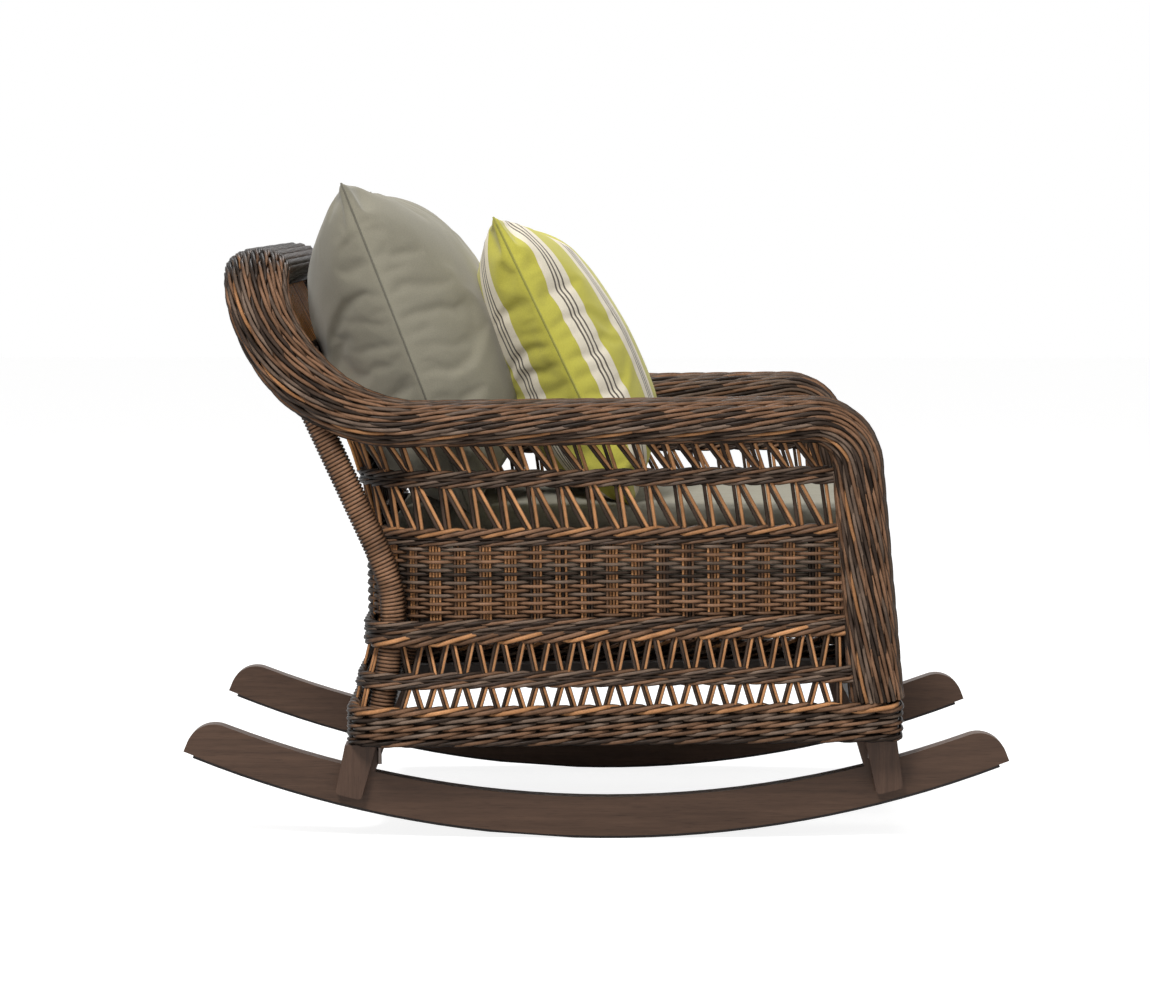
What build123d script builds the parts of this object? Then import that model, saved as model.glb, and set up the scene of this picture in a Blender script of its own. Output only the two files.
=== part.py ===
"""Woven resin lounge rocker: curved wooden rockers, tube frame, braided rolls, lattice sides and cushions.

Millimetres. +X is the sitter's front, +Y the sitter's left, +Z up. The origin is on the floor, midway
between the rocker tips. The woven body is drawn level and then pitched back a little onto its legs.
"""

import os
from math import asin, atan2, cos, degrees, hypot, radians, sin, sqrt, tan

from build123d import *

# Rockers
rocker_length = 1150.0  # tip to tip
rocker_depth = 54.0
rocker_thickness = 28.0
rocker_inset = 52.0  # outer face of a rocker from the side of the base
rocker_end_rounding = 40.0
rocking_radius = 1540.0  # to the underside of the tread
rocking_low_x = 15.0  # where the curve meets the floor
tread_thickness = 4.0
tread_width = 22.0
tread_end_gap = 14.0
rest_flat_length = 120.0  # short flat under each tread, on which the empty chair comes to rest
rest_flat_angle = -3.9  # degrees behind the low point, where the empty chair balances

# Legs
leg_top_width = 44.0
leg_foot_width = 33.0
leg_shoulder = 12.0  # extra width of the block behind the lap
leg_lap = 14.0  # how far the lap stands proud of the rocker
leg_foot_gap = 13.0  # lap end to rocker underside
leg_corner = 6.0
rear_leg_x = -327.0
front_leg_x = 395.0
rear_leg_lean = -13.5  # degrees, foot to the rear
front_leg_lean = 10.0
bolt_radius = 3.0
bolt_head_radius = 6.0
bolt_head_height = 3.0
bolt_spacing = 24.0
screw_length = 30.0
screw_end_gap = 10.5  # from the braid's inner face
screw_pitch = 14.0

# Woven body
body_pitch = 0.75  # degrees, front up
body_pivot = (40.0, 138.0)
base_bottom = 138.0
base_top = 194.0
base_front_x = 426.0
base_rear_x = -348.0
base_half_width = 382.0
base_wall = 22.0
base_corner = 60.0  # rear corners in plan
base_front_corner = 28.0
skirt_band_bottom = 217.0
skirt_band_top = 245.0
skirt_top = 278.0
skirt_step = 6.0  # the skirt's head stands this far outside the wall's middle
border_top = 307.0  # top of the lower border, foot of the close weave
weave_top = 412.0  # top of the close weave
panel_top = 440.0  # top of the upper border
band_bottom = 493.0
band_top = 519.0
wall_inset = 36.0  # middle of a side wall from the side of the base
wall_thickness = 12.0
border_thickness = 16.0
wall_corner = 130.0
back_x = -315.0  # middle of the back wall where it is upright
back_bend_z = 510.0
back_bend_radius = 400.0
back_head_x = -442.0
back_head_z = 762.0
back_inset = 53.0  # edge of the back above the arms, from the middle of a side wall
head_band_bottom = 661.0
head_band_top = 691.0
front_wall_x = 403.0
front_border_thickness = 20.0
front_border_top = 333.0

# Braided rolls
roll_inset = 34.0  # middle of a roll from the side of the base
roll_half_side = 44.0
post_foot_x = 389.0
post_lean = 4.15  # degrees, head to the rear
post_half_depth_foot = 39.0
post_half_depth_head = 36.0
post_grip = 0.9  # widest place round a post, as a share of its half side, where a wall may meet it
arm_bottom = 551.0
arm_half_height = 33.0
arm_corner = 66.0
wing_radius = 217.0
wing_x = -244.0  # where the arm starts to climb
wing_half_width = 44.0
wing_swell = 1.6  # how quickly the arm widens into the wing
wing_end = 72.0  # degrees of climb before the turn across the back
turn_radius = 65.0
head_half_depth = 47.0
head_half_height = 31.0

# Tube frame
tube_radius = 11.5
tube_wall = 2.0
rail_size = 25.0
base_rail_width = 35.0
rail_wall = 2.0
deck_thickness = 8.0
deck_rise = 1.7  # top of the deck above the front border
stake_radius = 4.0
rib_radius = 6.0  # a group of canes up the head of the back
stake_pitch = 39.0
skirt_pitch = 36.4
lattice_group = 3  # stakes joined in one piece of a lattice round the rear

# Wrapped rear posts
wrap_radius = 19.0
core_radius = 15.0  # outside of the post's tube
knee_x = -277.0
knee_z = 289.0
post_bend_z = 363.0
post_bend_radius = 300.0
knee_radius = 120.0
knee_slope = 1.0  # forward lean of the short run above the knee
post_notch_x = -279.0  # middle of the notch in the lower border that the post passes through
post_notch_gap = 3.0
post_foot_back_x = -305.5
post_head_back_x = -405.0
post_head_back_z = 644.0

# Cushions
seat_cushion_side_gap = 3.0  # to the rolls
seat_cushion_height = 114.5
seat_cushion_edge = 32.0
seat_cushion_rear_corner = 86.0
seat_cushion_rear_gap = 4.0  # to the back wall
pillow_side_gap = 12.0  # to the rolls
pillow_edge_share = 0.03  # thickness left at a pillow's ends, as a share of its middle
pillow_waist = 0.03  # share by which a pillow's sides pull in between its corners
pillow_fullness = [(0.93, 0.34), (0.82, 0.58), (0.62, 0.82), (0.35, 0.96)]  # height share, thickness share
pillow_height = 490.0
pillow_half_thickness = 119.0
pillow_lean = 20.5
pillow_foot_x = -172.0
throw_size = 450.0
throw_half_thickness = 88.0
throw_lean = 23.75
throw_foot_x = 62.5

fit = 0.3  # gap between neighbours that don't touch face to face
over = 20.0  # how far cutting and trimmed shapes run past a face

# Places worked out from the sizes above
rocker_track = 2 * (base_half_width - rocker_inset)
wall_y = base_half_width - wall_inset
back_half_width = wall_y - back_inset
roll_y = base_half_width - roll_inset
roll_inner_y = roll_y - roll_half_side
rocker_inner_y = rocker_track / 2 - rocker_thickness
rocker_low_radius = rocking_radius - tread_thickness
rocker_top_radius = rocker_low_radius - rocker_depth
arm_z = arm_bottom + arm_half_height
wing_z = arm_z + wing_radius
deck_bottom = front_border_top + deck_rise - deck_thickness
deck_top = deck_bottom + deck_thickness
seat_top = deck_top + fit + seat_cushion_height
base_rail_y = base_half_width - base_wall - fit
corner_y = wall_y - wall_corner
seat_rail_inset = border_thickness / 2 + fit + rail_size / 2  # from the middle of a wall


def pitched(shape, degrees_up):
    pivot_x, pivot_z = body_pivot
    return Pos(pivot_x, 0, pivot_z) * Rot(0, -degrees_up, 0) * Pos(-pivot_x, 0, -pivot_z) * shape


def settle(shape):
    """The level body, pitched about its pivot to where it stands on the legs."""
    return pitched(shape, body_pitch)


def settle_back(shape):
    """The reverse of settle, for a placed fastener that cuts a part of the level body."""
    return pitched(shape, -body_pitch)


def other_side(shape):
    return mirror(shape, about=Plane.XZ)


def side_plane(y):
    """Local x is X and local y is Z; an extrusion goes towards -Y."""
    return Plane(origin=(0, y, 0), x_dir=(1, 0, 0), z_dir=(0, -1, 0))


def plate(sketch, y_low, y_high):
    return extrude(side_plane(y_high) * sketch, amount=y_high - y_low)


def slab(z_low, z_high, half_width=rocker_length):
    """A level slice of space, wider than the chair unless a half width is given."""
    return Pos(0, 0, (z_low + z_high) / 2) * Box(2 * rocker_length, 2 * half_width, z_high - z_low)


def cylinder_along(start, axis, radius, length):
    return extrude(Plane(origin=start, z_dir=axis) * Circle(radius), amount=length)


# --- rockers and legs -------------------------------------------------------------------------------


def on_arc(radius, angle):
    """A point on a circle about the rocking centre; angle 0 is straight down, forward is positive."""
    return (rocking_low_x + radius * sin(angle), rocking_radius - radius * cos(angle))


def curved_bar(radius_low, radius_high, rear_angle, front_angle):
    middle = (rear_angle + front_angle) / 2
    angles = (rear_angle, middle, front_angle)
    low = ThreePointArc(*[on_arc(radius_low, angle) for angle in angles])
    high = ThreePointArc(*[on_arc(radius_high, angle) for angle in angles])
    ends = [Line(low @ 0, high @ 0), Line(low @ 1, high @ 1)]
    return make_face([low, high, *ends])


def tip_angle(x, radius):
    return asin((x - rocking_low_x) / radius)


def rocker_profile():
    rear = tip_angle(-rocker_length / 2, rocker_low_radius)
    front = tip_angle(rocker_length / 2, rocker_low_radius)
    face = curved_bar(rocker_low_radius, rocker_top_radius, rear, front)
    for angle in (rear, front):
        corner = (*on_arc(rocker_top_radius, angle), 0)
        face = fillet(face.vertices().sort_by_distance(corner)[:1], rocker_end_rounding)
    return face


def rocker_blank():
    return plate(rocker_profile(), -rocker_track / 2, -rocker_inner_y)


def rest_flat():
    """What is planed off the round underside, as a sketch in the side view."""
    depth = sqrt(rocking_radius**2 - (rest_flat_length / 2) ** 2)
    below = Pos(0, -depth - tread_thickness / 2) * Rectangle(2 * rest_flat_length, tread_thickness)
    return Pos(rocking_low_x, rocking_radius) * Rot(0, 0, rest_flat_angle) * below


def tread():
    rear = tip_angle(-rocker_length / 2 + tread_end_gap, rocker_low_radius)
    front = tip_angle(rocker_length / 2 - tread_end_gap, rocker_low_radius)
    profile = curved_bar(rocking_radius, rocker_low_radius, rear, front) - rest_flat()
    middle = -(rocker_track / 2 + rocker_inner_y) / 2
    return plate(profile, middle - tread_width / 2, middle + tread_width / 2)


def base_line(x):
    """Height of the underside of the pitched base at x."""
    return body_pivot[1] + (x - body_pivot[0]) * tan(radians(body_pitch))


def leg_outline(top_x, lean, inward):
    """Side view of a leg, with its block widened towards the chair's middle by inward at the top."""
    drop = base_line(top_x)
    foot_x = top_x + drop * tan(radians(lean))
    grow = inward if top_x < 0 else -inward
    rear_top = top_x - leg_top_width / 2 + min(grow, 0)
    front_top = top_x + leg_top_width / 2 + max(grow, 0)
    points = [
        (rear_top, base_line(rear_top)),
        (front_top, base_line(front_top)),
        (foot_x + leg_foot_width / 2, 0),
        (foot_x - leg_foot_width / 2, 0),
    ]
    return make_face(Polyline(*points, close=True))


def leg_end():
    return Pos(rocking_low_x, rocking_radius) * Circle(rocker_low_radius - leg_foot_gap)


def leg_blank(top_x, lean):
    lap = leg_outline(top_x, lean, 0) & leg_end()
    foot = lap.vertices().sort_by(Axis.Y)[:2]
    lap = plate(fillet(foot, leg_corner), -rocker_track / 2 - leg_lap, -rocker_track / 2)
    block = leg_outline(top_x, lean, leg_shoulder) & leg_end()
    return lap + plate(block, -rocker_track / 2, -rocker_inner_y)


def leg_bolts(top_x, lean):
    """Two bolts from the rocker's inner face into the lap, heads sunk in the rocker."""
    mid_radius = (rocker_low_radius + rocker_top_radius) / 2
    bolts = []
    for step in (-1, 1):
        radius = mid_radius + step * bolt_spacing / 2
        drop = base_line(top_x) - (rocking_radius - radius * cos(asin((top_x - rocking_low_x) / radius)))
        x = top_x + drop * tan(radians(lean))
        z = rocking_radius - sqrt(radius**2 - (x - rocking_low_x) ** 2)
        head_start = (x, -rocker_inner_y - fit, z)
        head = cylinder_along(head_start, (0, -1, 0), bolt_head_radius, bolt_head_height)
        shank = cylinder_along(head_start, (0, -1, 0), bolt_radius, rocker_thickness + leg_lap / 2)
        bolts.append(head + shank)
    return bolts


def leg_screws(top_x):
    """Two screws from inside the base rail down into the leg, counted inwards from the rail's end."""
    y = -(base_rail_y - base_rail_width + rocker_track / 2 + leg_lap) / 2
    if top_x < 0:
        first, step = base_rear_x + base_wall + screw_end_gap, screw_pitch
    else:
        first, step = base_front_x - base_wall - screw_end_gap, -screw_pitch
    screws = []
    for x in (first, first + step):
        top = (x, y, base_bottom + rail_wall)
        head = cylinder_along(top, (0, 0, 1), bolt_head_radius, bolt_head_height)
        shank = cylinder_along(top, (0, 0, -1), bolt_radius, screw_length)
        screws.append(settle(head + shank))
    return screws


# --- paths of the rolls and tubes -------------------------------------------------------------------


def post_x(z):
    """Middle of the front post roll at a height."""
    return post_foot_x - (z - base_top) * tan(radians(post_lean))


def wing_point(climb):
    return (wing_x - wing_radius * sin(climb), wing_z - wing_radius * cos(climb))


def arm_corner_arc():
    """The arc that joins the leaning front post to the level arm, in the XZ plane."""
    turn = radians(90 - post_lean)
    run = arm_corner * tan(turn / 2)
    corner_x = post_x(arm_z)
    start = (corner_x + run * sin(radians(post_lean)), arm_z - run * cos(radians(post_lean)))
    end = (corner_x - run, arm_z)
    centre = (end[0], arm_z - arm_corner)
    return start, end, centre, turn


def tube_path(y):
    """Centre line of the bent frame tube: front post, arm, wing and the elbow into the back's head."""
    start, end, centre, turn = arm_corner_arc()
    middle_angle = turn / 2
    middle = (centre[0] + arm_corner * sin(middle_angle), centre[1] + arm_corner * cos(middle_angle))
    climb = radians(wing_end)
    wing_start = wing_point(0)
    wing_middle = wing_point(climb / 2)
    wing_stop = wing_point(climb)
    heading = (-cos(climb), sin(climb))
    bend = turn_radius
    diagonal = 1 - cos(radians(45))

    def at(point, inward=0.0):
        return Vector(point[0], y + inward, point[1])

    elbow_middle = (
        wing_stop[0] + heading[0] * bend * sin(radians(45)),
        wing_stop[1] + heading[1] * bend * sin(radians(45)),
    )
    elbow_stop = (wing_stop[0] + heading[0] * bend, wing_stop[1] + heading[1] * bend)
    return [
        Line(at((post_x(base_bottom), base_bottom)), at(start)),
        ThreePointArc(at(start), at(middle), at(end)),
        Line(at(end), at(wing_start)),
        ThreePointArc(at(wing_start), at(wing_middle), at(wing_stop)),
        ThreePointArc(at(wing_stop), at(elbow_middle, bend * diagonal), at(elbow_stop, bend)),
    ]


def head_tube_place():
    climb = radians(wing_end)
    stop = wing_point(climb)
    return (stop[0] - turn_radius * cos(climb), stop[1] + turn_radius * sin(climb))


def round_bar(edges, radius):
    path = Wire(edges)
    start = Plane(origin=path @ 0, z_dir=path % 0)
    return sweep(start * Circle(radius), path=path)


def below_rail_top():
    return slab(0, base_bottom + rail_size)


def arm_tube(y):
    edges = tube_path(y)
    tube = round_bar(edges, tube_radius) - round_bar(edges, tube_radius - tube_wall)
    return tube - below_rail_top()


def head_tube_bar(radius):
    x, z = head_tube_place()
    half = roll_y - turn_radius
    return cylinder_along((x, -half, z), (0, 1, 0), radius, 2 * half)


def head_tube():
    return head_tube_bar(tube_radius) - head_tube_bar(tube_radius - tube_wall)


def roll_section(point, y, heading, half_depth, half_side):
    """An ellipse square to the roll's path; heading is a 3-D direction, and depth lies in the XZ plane."""
    flat = hypot(heading[0], heading[2])
    if flat > 1e-6:
        depth_dir = (-heading[2] / flat, 0, heading[0] / flat)
    else:
        depth_dir = (-1, 0, 0)
    plane = Plane(origin=(point[0], y, point[1]), x_dir=depth_dir, z_dir=heading)
    return plane * Ellipse(half_depth, half_side)


def arm_roll_sections():
    """Sections of the right roll, from below the post's foot to the end of its turn across the back."""
    lean = radians(post_lean)
    start, end, centre, turn = arm_corner_arc()
    up = (-sin(lean), 0, cos(lean))
    foot_z = base_top - over
    sections = [roll_section((post_x(foot_z), foot_z), -roll_y, up, post_half_depth_foot, roll_half_side)]
    steps = 5
    for i in range(steps + 1):
        share = i / steps
        angle = turn * (1 - share)
        point = (centre[0] + arm_corner * sin(angle), centre[1] + arm_corner * cos(angle))
        heading = (-cos(angle), 0, sin(angle))
        depth = post_half_depth_head + (arm_half_height - post_half_depth_head) * share
        sections.append(roll_section(point, -roll_y, heading, depth, roll_half_side))
    steps = 6
    climb_end = radians(wing_end)
    for i in range(steps + 1):
        share = i / steps
        climb = climb_end * share
        heading = (-cos(climb), 0, sin(climb))
        depth = arm_half_height + (wing_half_width - arm_half_height) * min(1, wing_swell * share)
        sections.append(roll_section(wing_point(climb), -roll_y, heading, depth, roll_half_side))
    steps = 4
    for i in range(1, steps + 1):
        share = i / steps
        turned = radians(90) * share
        climb = climb_end + turn_radius * sin(turned) / wing_radius
        y = -roll_y + turn_radius * (1 - cos(turned))
        heading = (-cos(climb) * cos(turned), sin(turned), sin(climb) * cos(turned))
        depth = wing_half_width + (head_half_depth - wing_half_width) * share
        side = roll_half_side + (head_half_height - roll_half_side) * share
        if i == steps:
            heading = (0, 1, 0)
        sections.append(roll_section(wing_point(climb), y, heading, depth, side))
    return sections


def head_place():
    return wing_point(radians(wing_end) + turn_radius / wing_radius)


def head_roll_bar():
    x, z = head_place()
    half = roll_y - turn_radius
    plane = Plane(origin=(x, -half, z), x_dir=(-1, 0, 0), z_dir=(0, 1, 0))
    return extrude(plane * Ellipse(head_half_depth, head_half_height), amount=2 * half)


def rear_post_path(y):
    points = [
        (post_foot_back_x, y, base_bottom),
        (knee_x - knee_slope, y, knee_z),
        (knee_x, y, post_bend_z),
        (post_head_back_x, y, post_head_back_z),
    ]
    return FilletPolyline(*points, radius=[knee_radius, post_bend_radius]).edges()


def rear_post_y():
    """The post stands against the outside of the wall's rounded rear corner."""
    reach = wall_corner + wall_thickness / 2 + wrap_radius + 2 * fit
    across = knee_x - (back_x + wall_corner)
    return corner_y + sqrt(reach**2 - across**2)


# --- woven walls ------------------------------------------------------------------------------------


def back_middle_x(z):
    """Middle of the back wall: upright, then an arc, then a straight lean to the head."""
    rise = back_head_z - back_bend_z
    lean = atan2(back_x - back_head_x, rise)
    run = back_bend_radius * tan(lean / 2)
    arc_start = back_bend_z - run
    arc_end = back_bend_z + run * cos(lean)
    if z <= arc_start:
        return back_x
    if z < arc_end:
        return back_x - (back_bend_radius - sqrt(back_bend_radius**2 - (z - arc_start) ** 2))
    return back_x - (z - back_bend_z) * tan(lean)


def skirt_share(z):
    return min(max((skirt_top - z) / (skirt_top - base_top), 0), 1)


def skirt_side_y(z):
    head_y = wall_y + skirt_step
    return head_y + (base_half_width - base_wall / 2 - head_y) * skirt_share(z)


def skirt_rear_x(z):
    return back_x + (base_rear_x + base_wall / 2 - back_x) * skirt_share(z)


def skirt_front_x(z):
    return front_wall_x + (base_front_x - base_wall / 2 - front_wall_x) * skirt_share(z)


def side_front_x(z, y):
    """Where a side wall at y meets the rear of the front post roll."""
    share = min(max((y - roll_y) / roll_half_side, -post_grip), post_grip)
    half = post_half_depth_foot + (post_half_depth_head - post_half_depth_foot) * (z - base_top) / (
        arm_z - base_top
    )
    return post_x(z) - half * sqrt(1 - share**2) - fit


def corner_arc(x, y, radius):
    """A quarter circle round a rear corner at (x, y), from the side towards the back; y gives the side."""
    inward = -radius if y > 0 else radius
    eased = radius * (1 - cos(radians(45)))
    side = inward / radius
    return ThreePointArc((x + radius, y), (x + eased, y + side * eased), (x, y + inward))


def u_outline(rear, half_width, corner):
    """The rear of a wall in plan: the two round corners and the straight between them."""
    right = corner_arc(rear, -half_width, corner)
    left = corner_arc(rear, half_width, corner)
    return [right, Line(right @ 1, left @ 1), left]


def u_face(rear, half_width, corner, thickness, z):
    """A U-shaped strip in plan, open to the front, with round rear corners, at a height."""
    half = thickness / 2
    outer = u_outline(rear - half, half_width + half, corner + half)
    inner = u_outline(rear + half, half_width - half, corner - half)
    caps = [Line(outer[0] @ 0, inner[0] @ 0), Line(outer[2] @ 0, inner[2] @ 0)]
    return Pos(0, 0, z) * make_face([*outer, *inner, *caps])


def rear_band(z_low, z_high, thickness):
    """The wall's rear strip with both round corners."""
    faces = [u_face(back_middle_x(z), wall_y, wall_corner, thickness, z) for z in (z_low, z_high)]
    return loft(faces, ruled=True)


def side_strip(z_low, z_high, thickness, y_at, rear_at):
    """A straight strip of the right side wall, from the rear corner to the front post roll."""
    faces = []
    for z in (z_low, z_high):
        y = y_at(z)
        rear = rear_at(z)
        front = side_front_x(z, y)
        faces.append(Pos((rear + front) / 2, -y, z) * Rectangle(front - rear, thickness))
    return loft(faces, ruled=True)


def wall_corner_x(z):
    return back_middle_x(z) + wall_corner


def skirt_corner_x(z):
    return skirt_rear_x(z) + base_corner


def wall_side_y(z):
    return wall_y


def wall_band(z_low, z_high, thickness):
    return side_strip(z_low, z_high, thickness, wall_side_y, wall_corner_x)


def skirt_band(z_low, z_high, thickness):
    return side_strip(z_low, z_high, thickness, skirt_side_y, skirt_corner_x)


def skirt_rear_band(z_low, z_high, thickness):
    faces = [u_face(skirt_rear_x(z), skirt_side_y(z), base_corner, thickness, z) for z in (z_low, z_high)]
    return loft(faces, ruled=True)


def front_half_width():
    return roll_inner_y - fit


def front_band(z_low, z_high, thickness):
    faces = []
    for z in (z_low, z_high):
        faces.append(Pos(skirt_front_x(z), 0, z) * Rectangle(thickness, 2 * front_half_width()))
    return loft(faces, ruled=True)


def side_panel():
    """Close weave between its two borders."""
    weave = wall_band(border_top, weave_top, wall_thickness)
    upper = wall_band(weave_top, panel_top, border_thickness)
    lower = skirt_band(skirt_top, border_top, border_thickness)
    return weave + upper + lower


def post_notch():
    """Room for the right wrapped post where it passes through the lower border."""
    foot = (post_notch_x, -rear_post_y(), skirt_top - over)
    return cylinder_along(foot, (0, 0, 1), wrap_radius + post_notch_gap, border_top - skirt_top + 2 * over)


def back_panel():
    """Close weave and upper border, and the lower border that the wrapped posts pass through."""
    weave = rear_band(border_top, weave_top, wall_thickness)
    upper = rear_band(weave_top, panel_top, border_thickness)
    lower = skirt_rear_band(skirt_top, border_top, border_thickness) - post_notch() - other_side(post_notch())
    return Compound([weave + upper, lower])


# --- stakes -----------------------------------------------------------------------------------------


def rod(start, end, radius):
    """A round stake through two points, run on past both for trimming."""
    way = (Vector(*end) - Vector(*start)).normalized()
    first = Vector(*start) - way * over
    length = (Vector(*end) - Vector(*start)).length + 2 * over
    return extrude(Plane(origin=first, z_dir=way) * Circle(radius), amount=length)


def zigzag(feet, heads, z_low, z_high):
    """Stakes foot to head and head to next foot, trimmed level and joined where they meet."""
    stakes = []
    for i, foot in enumerate(feet):
        stakes.append(rod(foot, heads[i], stake_radius))
        if i + 1 < len(feet):
            stakes.append(rod(heads[i], feet[i + 1], stake_radius))
    joined = stakes[0]
    joined = joined + stakes[1:]
    return joined & slab(z_low, z_high)


def spread(first, last, pitch):
    """Evenly spaced places between two ends, as near to a pitch as fits."""
    count = max(2, round((last - first) / pitch))
    return [first + (last - first) * i / count for i in range(count + 1)]


def upright_lattice(z_low, z_high):
    """Upright stakes joined by leaning ones on the right side wall."""
    rear = wall_corner_x(z_low) + stake_radius
    front = side_front_x(z_high, wall_y) - stake_radius - fit
    places = spread(rear, front, stake_pitch)
    feet = [(x, -wall_y, z_low) for x in places]
    heads = [(x, -wall_y, z_high) for x in places]
    return zigzag(feet, heads, z_low, z_high)


def leaning_lattice(z_low, z_high):
    """A zigzag of leaning stakes on the right skirt."""
    rear = skirt_corner_x(z_high) + stake_radius
    front = side_front_x(z_high, skirt_side_y(z_high)) - stake_radius - fit
    places = spread(rear, front - skirt_pitch / 2, skirt_pitch)
    feet = [(x, -skirt_side_y(z_low), z_low) for x in places]
    heads = [(x + skirt_pitch / 2, -skirt_side_y(z_high), z_high) for x in places]
    return zigzag(feet, heads, z_low, z_high)


def rear_path_point(along, rear, half_width, corner):
    """A point on the rear strip; along runs from the right corner's start to the left corner's end."""
    quarter = corner * radians(90)
    straight = 2 * (half_width - corner)
    if along < quarter:
        angle = along / corner
        return (rear + corner - corner * sin(angle), -(half_width - corner) - corner * cos(angle))
    if along < quarter + straight:
        return (rear, -(half_width - corner) + along - quarter)
    angle = (along - quarter - straight) / corner
    return (rear + corner - corner * cos(angle), (half_width - corner) + corner * sin(angle))


def rear_lattice(z_low, z_high, half_pitch, pitch, rear_at, width_at, corner):
    """A lattice round the rear, in groups of a few stakes that each lie nearly flat."""
    length = 2 * corner * radians(90) + 2 * (width_at(z_low) - corner)
    places = spread(2 * stake_radius, length - 2 * stake_radius - half_pitch, pitch)
    feet, heads = [], []
    for along in places:
        foot = rear_path_point(along, rear_at(z_low), width_at(z_low), corner)
        head = rear_path_point(along + half_pitch, rear_at(z_high), width_at(z_high), corner)
        feet.append((*foot, z_low))
        heads.append((*head, z_high))
    groups = []
    for i in range(0, len(feet), lattice_group):
        groups.append(zigzag(feet[i : i + lattice_group], heads[i : i + lattice_group], z_low, z_high))
    return groups


def back_lattice(z_low, z_high):
    return rear_lattice(z_low, z_high, 0, stake_pitch, back_middle_x, wall_side_y, wall_corner)


def back_uprights(z_low, z_high, y_low, y_high, radius):
    """Separate stakes up the back wall, where the distance from the middle lies between two values."""
    length = 2 * wall_corner * radians(90) + 2 * corner_y
    stakes = []
    for along in spread(2 * stake_radius, length - 2 * stake_radius, stake_pitch):
        foot = rear_path_point(along, back_middle_x(z_low), wall_y, wall_corner)
        head = rear_path_point(along, back_middle_x(z_high), wall_y, wall_corner)
        if y_low <= abs(foot[1]) <= y_high:
            stakes.append(rod((*foot, z_low), (*head, z_high), radius) & slab(z_low, z_high))
    return stakes


def skirt_rear_lattice(z_low, z_high):
    half = skirt_pitch / 2
    return rear_lattice(z_low, z_high, half, skirt_pitch, skirt_rear_x, skirt_side_y, base_corner)


def skirt_front_lattice(z_low, z_high):
    half = front_half_width() - stake_radius - fit
    places = spread(-half, half - skirt_pitch / 2, skirt_pitch)
    feet = [(skirt_front_x(z_low), y, z_low) for y in places]
    heads = [(skirt_front_x(z_high), y + skirt_pitch / 2, z_high) for y in places]
    return zigzag(feet, heads, z_low, z_high)


def bounded_back_band(z_low, z_high):
    """The dark band near the head of the back, between the wings."""
    band = rear_band(z_low, z_high, border_thickness)
    return band & slab(z_low - over, z_high + over, back_half_width)


# --- base, rails and deck ---------------------------------------------------------------------------


def base_outline(inset):
    """The base in plan: round corners, inset from the outer face of the braid."""
    length = base_front_x - base_rear_x - 2 * inset
    width = 2 * (base_half_width - inset)
    outline = Pos((base_front_x + base_rear_x) / 2, 0, 0) * Rectangle(length, width)
    rear = outline.vertices().sort_by(Axis.X)[:2]
    outline = fillet(rear, max(base_corner - inset, 2))
    front = outline.vertices().sort_by(Axis.X)[-2:]
    return fillet(front, max(base_front_corner - inset, 2))


def base_ring():
    ring = base_outline(0) - base_outline(base_wall)
    return Pos(0, 0, base_bottom) * extrude(ring, amount=base_top - base_bottom)


def base_cut(where):
    """The quarter of the base that a braid or rail keeps: two long sides between the short ends."""
    front = base_front_x - base_corner
    rear = base_rear_x + base_corner
    high = 2 * base_top
    wide = 2 * base_half_width + over
    if where == "front":
        return Pos(front + base_corner, 0, high / 2) * Box(2 * base_corner, wide, high)
    if where == "rear":
        return Pos(rear - base_corner, 0, high / 2) * Box(2 * base_corner, wide, high)
    return Pos((front + rear) / 2, -base_half_width, high / 2) * Box(front - rear, 4 * base_corner, high)


def tube_box(length_x, length_y, centre, open_along_x):
    """A square-cut rail, hollow along its length, standing on the base plane."""
    hollow_x = length_x if open_along_x else length_x - 2 * rail_wall
    hollow_y = length_y - 2 * rail_wall if open_along_x else length_y
    solid = Box(length_x, length_y, rail_size)
    hollow = Box(hollow_x, hollow_y, rail_size - 2 * rail_wall)
    return Pos(*centre) * (solid - hollow)


def base_side_rail():
    rear = base_rear_x + base_wall + fit
    front = base_front_x - base_wall - fit
    z = base_bottom + rail_size / 2
    y = -(base_rail_y - base_rail_width / 2)
    rail = tube_box(front - rear, base_rail_width, ((front + rear) / 2, y, z), True)
    keep = Pos(0, 0, base_bottom) * extrude(base_outline(base_wall + fit), amount=rail_size)
    return rail & keep


def base_cross_rail(x):
    width = 2 * (base_rail_y - base_rail_width)
    return tube_box(rail_size, width, (x, 0, base_bottom + rail_size / 2), False)


def seat_side_rail():
    front = post_x(deck_bottom) - rail_size / 2 - fit
    rear = back_x + wall_corner
    y = -(wall_y - seat_rail_inset)
    return tube_box(front - rear, rail_size, ((front + rear) / 2, y, deck_bottom - rail_size / 2), True)


def seat_rear_rail():
    rear = back_x + seat_rail_inset
    corner = wall_corner - seat_rail_inset
    half_width = wall_y - seat_rail_inset
    low = deck_bottom - rail_size

    def strip(width, z):
        return u_face(rear, half_width, corner, width, z)

    outer = extrude(strip(rail_size, low), amount=rail_size)
    inner = extrude(strip(rail_size - 2 * rail_wall, low + rail_wall), amount=rail_size - 2 * rail_wall)
    return outer - inner


def seat_front_rail():
    x = post_x(deck_bottom)
    width = 2 * front_half_width()
    return tube_box(rail_size, width, (x, 0, deck_bottom - rail_size / 2), False)


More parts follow.
